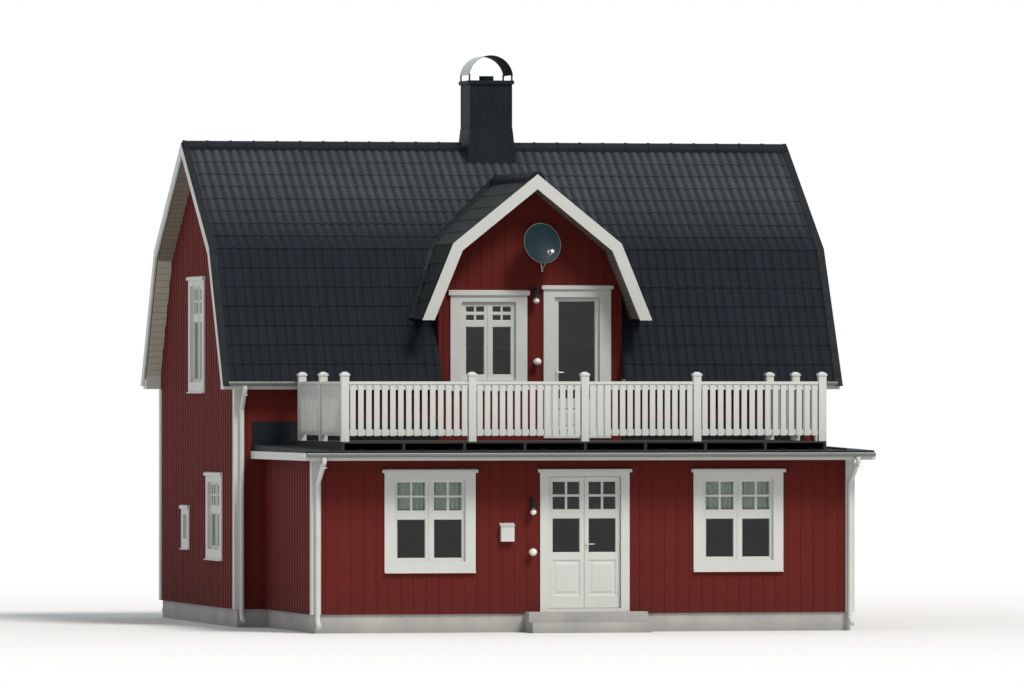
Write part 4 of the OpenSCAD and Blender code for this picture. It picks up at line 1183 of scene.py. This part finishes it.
def entrance_trims():
    for body, word in (("door_left", "left"), ("door_right", "right")):
        lo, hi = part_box(f"entrance_glass_{word}")
        part = Part()
        small = (lo.x, hi.x, LEAF_FOOT + LEAF_RAIL[1], hi.z)
        for pane in ((lo.x, hi.x, lo.z, LEAF_FOOT + LEAF_RAIL[0]), small):
            bead(part, LAKE, pane, LEAF_D, LEAF_GLASS_D)
        pane_bars(part, LAKE, small, LEAF_D - BAR_SINK, LEAF_GLASS_D)
        raised_panel(part, LAKE, (lo.x, hi.x, LEAF_FOOT + LEAF_PANEL[0], LEAF_FOOT + LEAF_PANEL[1]), LEAF_D)
        part.build(f"entrance_trims_{word}", m_white, body=body)


def balcony_door_trims():
    half = DOOR_W / 2 - FRAME_W - DOOR_STILE
    sides = (DOOR_X - half, DOOR_X + half)
    top = DOOR_FOOT + DOOR_H - FRAME_W - DOOR_STILE
    part = Part()
    bead(part, FRONT, (*sides, DOOR_FOOT + DOOR_RAIL, top), FACE_D, GLASS_D)
    raised_panel(part, FRONT, (*sides, DOOR_FOOT + DOOR_PANEL[0], DOOR_FOOT + DOOR_PANEL[1]), FACE_D)
    part.build("balcony_door_trims", m_white)


def balcony_door_handle():
    part = Part()
    x, z = DOOR_X - (DOOR_W / 2 - FRAME_W - DOOR_STILE) - DOOR_STILE / 2, DOOR_FOOT + HANDLE_UP
    part.wall_box(FRONT, (x - HANDLE_HALF, x + HANDLE_HALF), (FACE_D - 0.001, FACE_D + HANDLE_T),
                  [z + a for a in HANDLE_PLATE])
    peg(part, FRONT, (x, z), (FACE_D, LEVER_OUT), LEVER_R)
    tube(part, [FRONT.at(x + reach, LEVER_OUT, z) for reach in LEVER], LEVER_R)
    part.build("balcony_door_handle", m_bare, smooth=35)


def letterbox_flap():
    lo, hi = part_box("letterbox")
    part = Part()
    y = -VERANDA_Y - FLAP_D
    part.box((lo.x + FLAP_IN, y, lo.z + FLAP_Z[0]), (hi.x - FLAP_IN, y + FLAP_T, lo.z + FLAP_Z[1]))
    part.build("letterbox_flap", m_white_metal, bevel=0.001)


# Lights: a lantern with an open shade on each wall, and a round lamp beside the entrance.
# Plates and arms are (depths, radius, sides), profiles (radius, height).
LANTERN_AT = (0.070, 5.030 + UP)
ENTRANCE_LANTERN_AT = (-0.848, 1.709 + UP)
ENTRANCE_LAMP_AT = (-0.848, 0.900 + UP)
LANTERN_OUT = 0.130
LAMP_OUT = 0.110
LAMP_R = 0.060
BULB_R = 0.048
BULB_DROP = 0.185
LANTERN_PLATE = ((-0.001, 0.014), 0.038, 32)
LANTERN_ARM = ((0.013, LANTERN_OUT), 0.010, 16)
LAMP_PLATE = ((-0.001, 0.020), 0.045, 32)
LAMP_ARM = ((0.019, LAMP_OUT - 0.05), 0.014, 16)
BALL_START = 0.03
BALL_STEPS = 12
SHADE = ((0.024, 0.022), (0.030, -0.020), (0.066, -0.128), (0.062, -0.128), (0.026, -0.024))
BULB_NECK = ((0.017, 0.052), (0.017, 0.070))
HOLDER = ((0.020, 0.066), (0.022, 0.070), (0.022, 0.120), (0.014, 0.130))


def turned(part, centre, profile, sides=24):
    """A solid of revolution; profile gives (radius, height) from end to end."""
    way = circle(sides)
    part.loops([[centre + Vector((r * a, r * b, height)) for a, b in way] for r, height in profile])


def ball(radius, end):
    """Profile of a ball, up to a share of its half turn."""
    turns = (pi * (BALL_START + (end - BALL_START) * i / BALL_STEPS) for i in range(BALL_STEPS + 1))
    return [(radius * sin(a), -radius * cos(a)) for a in turns]


def lantern_bulb(name, wall, place):
    """Opal bulb and holder under a lantern's shade."""
    centre = wall.at(place[0], LANTERN_OUT, place[1] - BULB_DROP)
    part = Part()
    turned(part, centre, [*ball(BULB_R, 0.85), *BULB_NECK])
    part.build(f"{name}_bulb", m_opal, smooth=50)
    part = Part()
    turned(part, centre, HOLDER)
    part.build(f"{name}_holder", m_sheet, smooth=35)


def entrance_lantern():
    """A lantern like the one that the frame has on the wall above."""
    part = Part()
    peg(part, LAKE, ENTRANCE_LANTERN_AT, *LANTERN_PLATE)
    peg(part, LAKE, ENTRANCE_LANTERN_AT, *LANTERN_ARM)
    turned(part, LAKE.at(ENTRANCE_LANTERN_AT[0], LANTERN_OUT, ENTRANCE_LANTERN_AT[1]), SHADE, 40)
    part.build("entrance_lantern", m_sheet, smooth=35)


def entrance_lamp():
    part = Part()
    peg(part, LAKE, ENTRANCE_LAMP_AT, *LAMP_PLATE)
    peg(part, LAKE, ENTRANCE_LAMP_AT, *LAMP_ARM)
    turned(part, LAKE.at(ENTRANCE_LAMP_AT[0], LAMP_OUT, ENTRANCE_LAMP_AT[1]), ball(LAMP_R, 0.97), 32)
    part.build("entrance_lamp", m_opal, smooth=50)


DISH_AT = Vector((0.090, -HOUSE_Y - 0.330, 5.745 + UP))
DISH_TURN = Euler((radians(78), 0, radians(14)))
DISH_R = 0.325
DISH_DEPTH = 0.075
RIM_R = 0.0055
RIM_IN = 0.002
RIM_DOWN = 0.004


def dish_rim():
    """The rim's tube; at takes a turn round the dish, then one round the tube."""
    def at(turn_x, turn_y, a, b):
        r = DISH_R - RIM_IN + RIM_R * a
        spot = Vector((r * turn_x, r * turn_y, DISH_DEPTH - RIM_DOWN + RIM_R * b))
        spot.rotate(DISH_TURN)
        return DISH_AT + spot

    part = Part()
    part.loops([[at(*turn, a, b) for a, b in circle(8)] for turn in circle(72)], endless=True)
    # The rim wears the paler paint, a painted highlight.
    part.build("dish_rim", m_dish_rim_highlight, smooth=60)


FOLD_W = 0.022
FOLD_T = 0.003
CORNER_FOLD = ((-FOLD_W, FOLD_T), (FOLD_T, FOLD_T), (FOLD_T, -FOLD_W), (0, -FOLD_W), (0, 0), (-FOLD_W, 0))
SHEET_IN = 0.030
SHEET_UNDER_HOOD = 0.062
LAP_T = 0.004
LAP_H = 0.030


def chimney_seams():
    """Folded corners and laps of the sheets round the stack."""
    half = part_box("chimney")[1].x - SHEET_IN
    foot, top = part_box("chimney_flashing")[1].z + 0.004, HOOD_LO.z - SHEET_UNDER_HOOD
    part = Part()
    for sx in (-1, 1):
        for sy in (-1, 1):
            part.upright([(sx * (half + a), sy * (half + b)) for a, b in CORNER_FOLD], foot, top)
    out = half + LAP_T
    for level in (foot, (foot + top) / 2):
        for a, b in (((-half, -out), (half, -half)), ((-half, half), (half, out)),
                     ((-out, -half), (-half, half)), ((half, -half), (out, half))):
            part.box((*a, level), (*b, level + LAP_H))
    part.build("chimney_seams", m_sheet)


VALANCE_DROP = 0.46
VALANCE_D = -0.138
VALANCE_TOP = 0.06
VALANCE_IN = 0.01
VALANCE_ROWS = 6
FOLDS = 17
FOLD_STEPS = 16
FOLD_DEPTH = 0.018
FOLD_LEAN = 0.006
ROD_R = 0.006


def valance(name, wall, window):
    """Short gathered curtain on a rod behind the small panes."""
    middle = window.middle
    half = window.width / 2 - VALANCE_IN
    top = window.sill + window.height - VALANCE_TOP
    spots = []
    for i in range(FOLDS * FOLD_STEPS + 1):
        share = i / (FOLDS * FOLD_STEPS)
        phase = 2 * pi * FOLDS * share
        uneven = 1 + 0.25 * sin(7.3 * share * pi)
        spots.append((middle - half + 2 * half * share + FOLD_LEAN * sin(2 * phase),
                      FOLD_DEPTH * sin(phase) * uneven))
    part = Part()
    heights = [top - VALANCE_DROP * r / VALANCE_ROWS for r in range(VALANCE_ROWS + 1)]
    part.sheet([[wall.at(s, VALANCE_D + d, z) for s, d in spots] for z in heights])
    obj = part.build(name, m_cloth, smooth=60, closed=False)
    rod = Part()
    ends = (middle - window.width / 2, middle + window.width / 2)
    tube(rod, [wall.at(s, VALANCE_D, top + ROD_R) for s in ends], ROD_R, 10)
    rod.build(f"{name}_rod", m_bare, smooth=35)


roof_tiles()
valley_sheets()
verge_strips()
wall_claddings()
all_sashes()
downpipes()
gutter_fittings()
deck()
veranda_seams()
entrance_trims()
balcony_door_trims()
balcony_door_handle()
letterbox_flap()
lantern_bulb("lantern", FRONT, LANTERN_AT)
entrance_lantern()
lantern_bulb("entrance_lantern", LAKE, ENTRANCE_LANTERN_AT)
entrance_lamp()
dish_rim()
chimney_seams()
valance("valance_left", LAKE, mirrored(VERANDA_WINDOW))
valance("valance_right", LAKE, VERANDA_WINDOW)


# Stage, light and camera.
FLOOR_R = 90
FADE_FROM = 9.0
FADE_TO = 26.0
SKY = (0.93, 0.96, 1.0)
SKY_LEVEL = 0.52
KEY_LEVEL = 2.6
KEY_COLOUR = (1.0, 0.965, 0.92)
KEY_WIDTH = radians(18)
KEY_TURN = radians(28)
KEY_RISE = radians(50)
VIEW_TURN = radians(12.75)
CAMERA_FAR = 150.0
CAMERA_Z = 3.89
CLIP_END = 600
LENS = 327.0
TARGET = Vector((0.0, -1.9, 4.55))


def make_floor():
    """Pale floor, turning white far from the house."""
    bpy.ops.mesh.primitive_circle_add(vertices=96, radius=FLOOR_R, fill_type="NGON", location=(0, 0, 0))
    floor = bpy.context.object
    floor.name = "floor"
    s = Shader("pale_floor", (0.80, 0.80, 0.79), Roughness=0.9)
    fade = s.spread(s.vector("LENGTH", s.place).outputs["Value"], FADE_FROM, FADE_TO)
    white = s.add("ShaderNodeEmission", {"Color": (1, 1, 1), "Strength": 1.0}).outputs[0]
    share = s.math("MULTIPLY", fade, s.seen())
    blend = s.add("ShaderNodeMixShader", {0: share, 1: s.bsdf.outputs[0], 2: white}).outputs[0]
    s.join(s.tree.nodes["Material Output"].inputs["Surface"], blend)
    floor.data.materials.append(s.done())


def make_light():
    """A soft sky that looks white, and one lamp."""
    world = bpy.data.worlds.new("studio")
    bpy.context.scene.world = world
    world.use_nodes = True
    g = Graph(world.node_tree)
    g.tree.nodes.clear()
    soft = g.add("ShaderNodeBackground", {"Color": SKY, "Strength": SKY_LEVEL}).outputs[0]
    white = g.add("ShaderNodeBackground", {"Color": (1, 1, 1), "Strength": 1.0}).outputs[0]
    blend = g.add("ShaderNodeMixShader", {0: g.seen(), 1: soft, 2: white}).outputs[0]
    g.add("ShaderNodeOutputWorld", {"Surface": blend})
    lamp = bpy.data.lights.new("key", "SUN")
    lamp.energy = KEY_LEVEL
    lamp.angle = KEY_WIDTH
    lamp.color = KEY_COLOUR
    out = cos(KEY_RISE)
    sun_from = Vector((sin(KEY_TURN) * out, -cos(KEY_TURN) * out, sin(KEY_RISE)))
    link("key", lamp).rotation_euler = (-sun_from).to_track_quat("-Z", "Y").to_euler()


def make_camera():
    lens = bpy.data.cameras.new("view")
    lens.lens = LENS
    lens.clip_end = CLIP_END
    cam = link("view", lens)
    ahead = Vector((sin(VIEW_TURN), cos(VIEW_TURN), 0))
    cam.location = TARGET - ahead * CAMERA_FAR
    cam.location.z = CAMERA_Z
    cam.rotation_euler = (TARGET - cam.location).to_track_quat("-Z", "Y").to_euler()
    bpy.context.scene.camera = cam


make_floor()
make_light()
make_camera()
bpy.context.scene.view_settings.view_transform = "Standard"
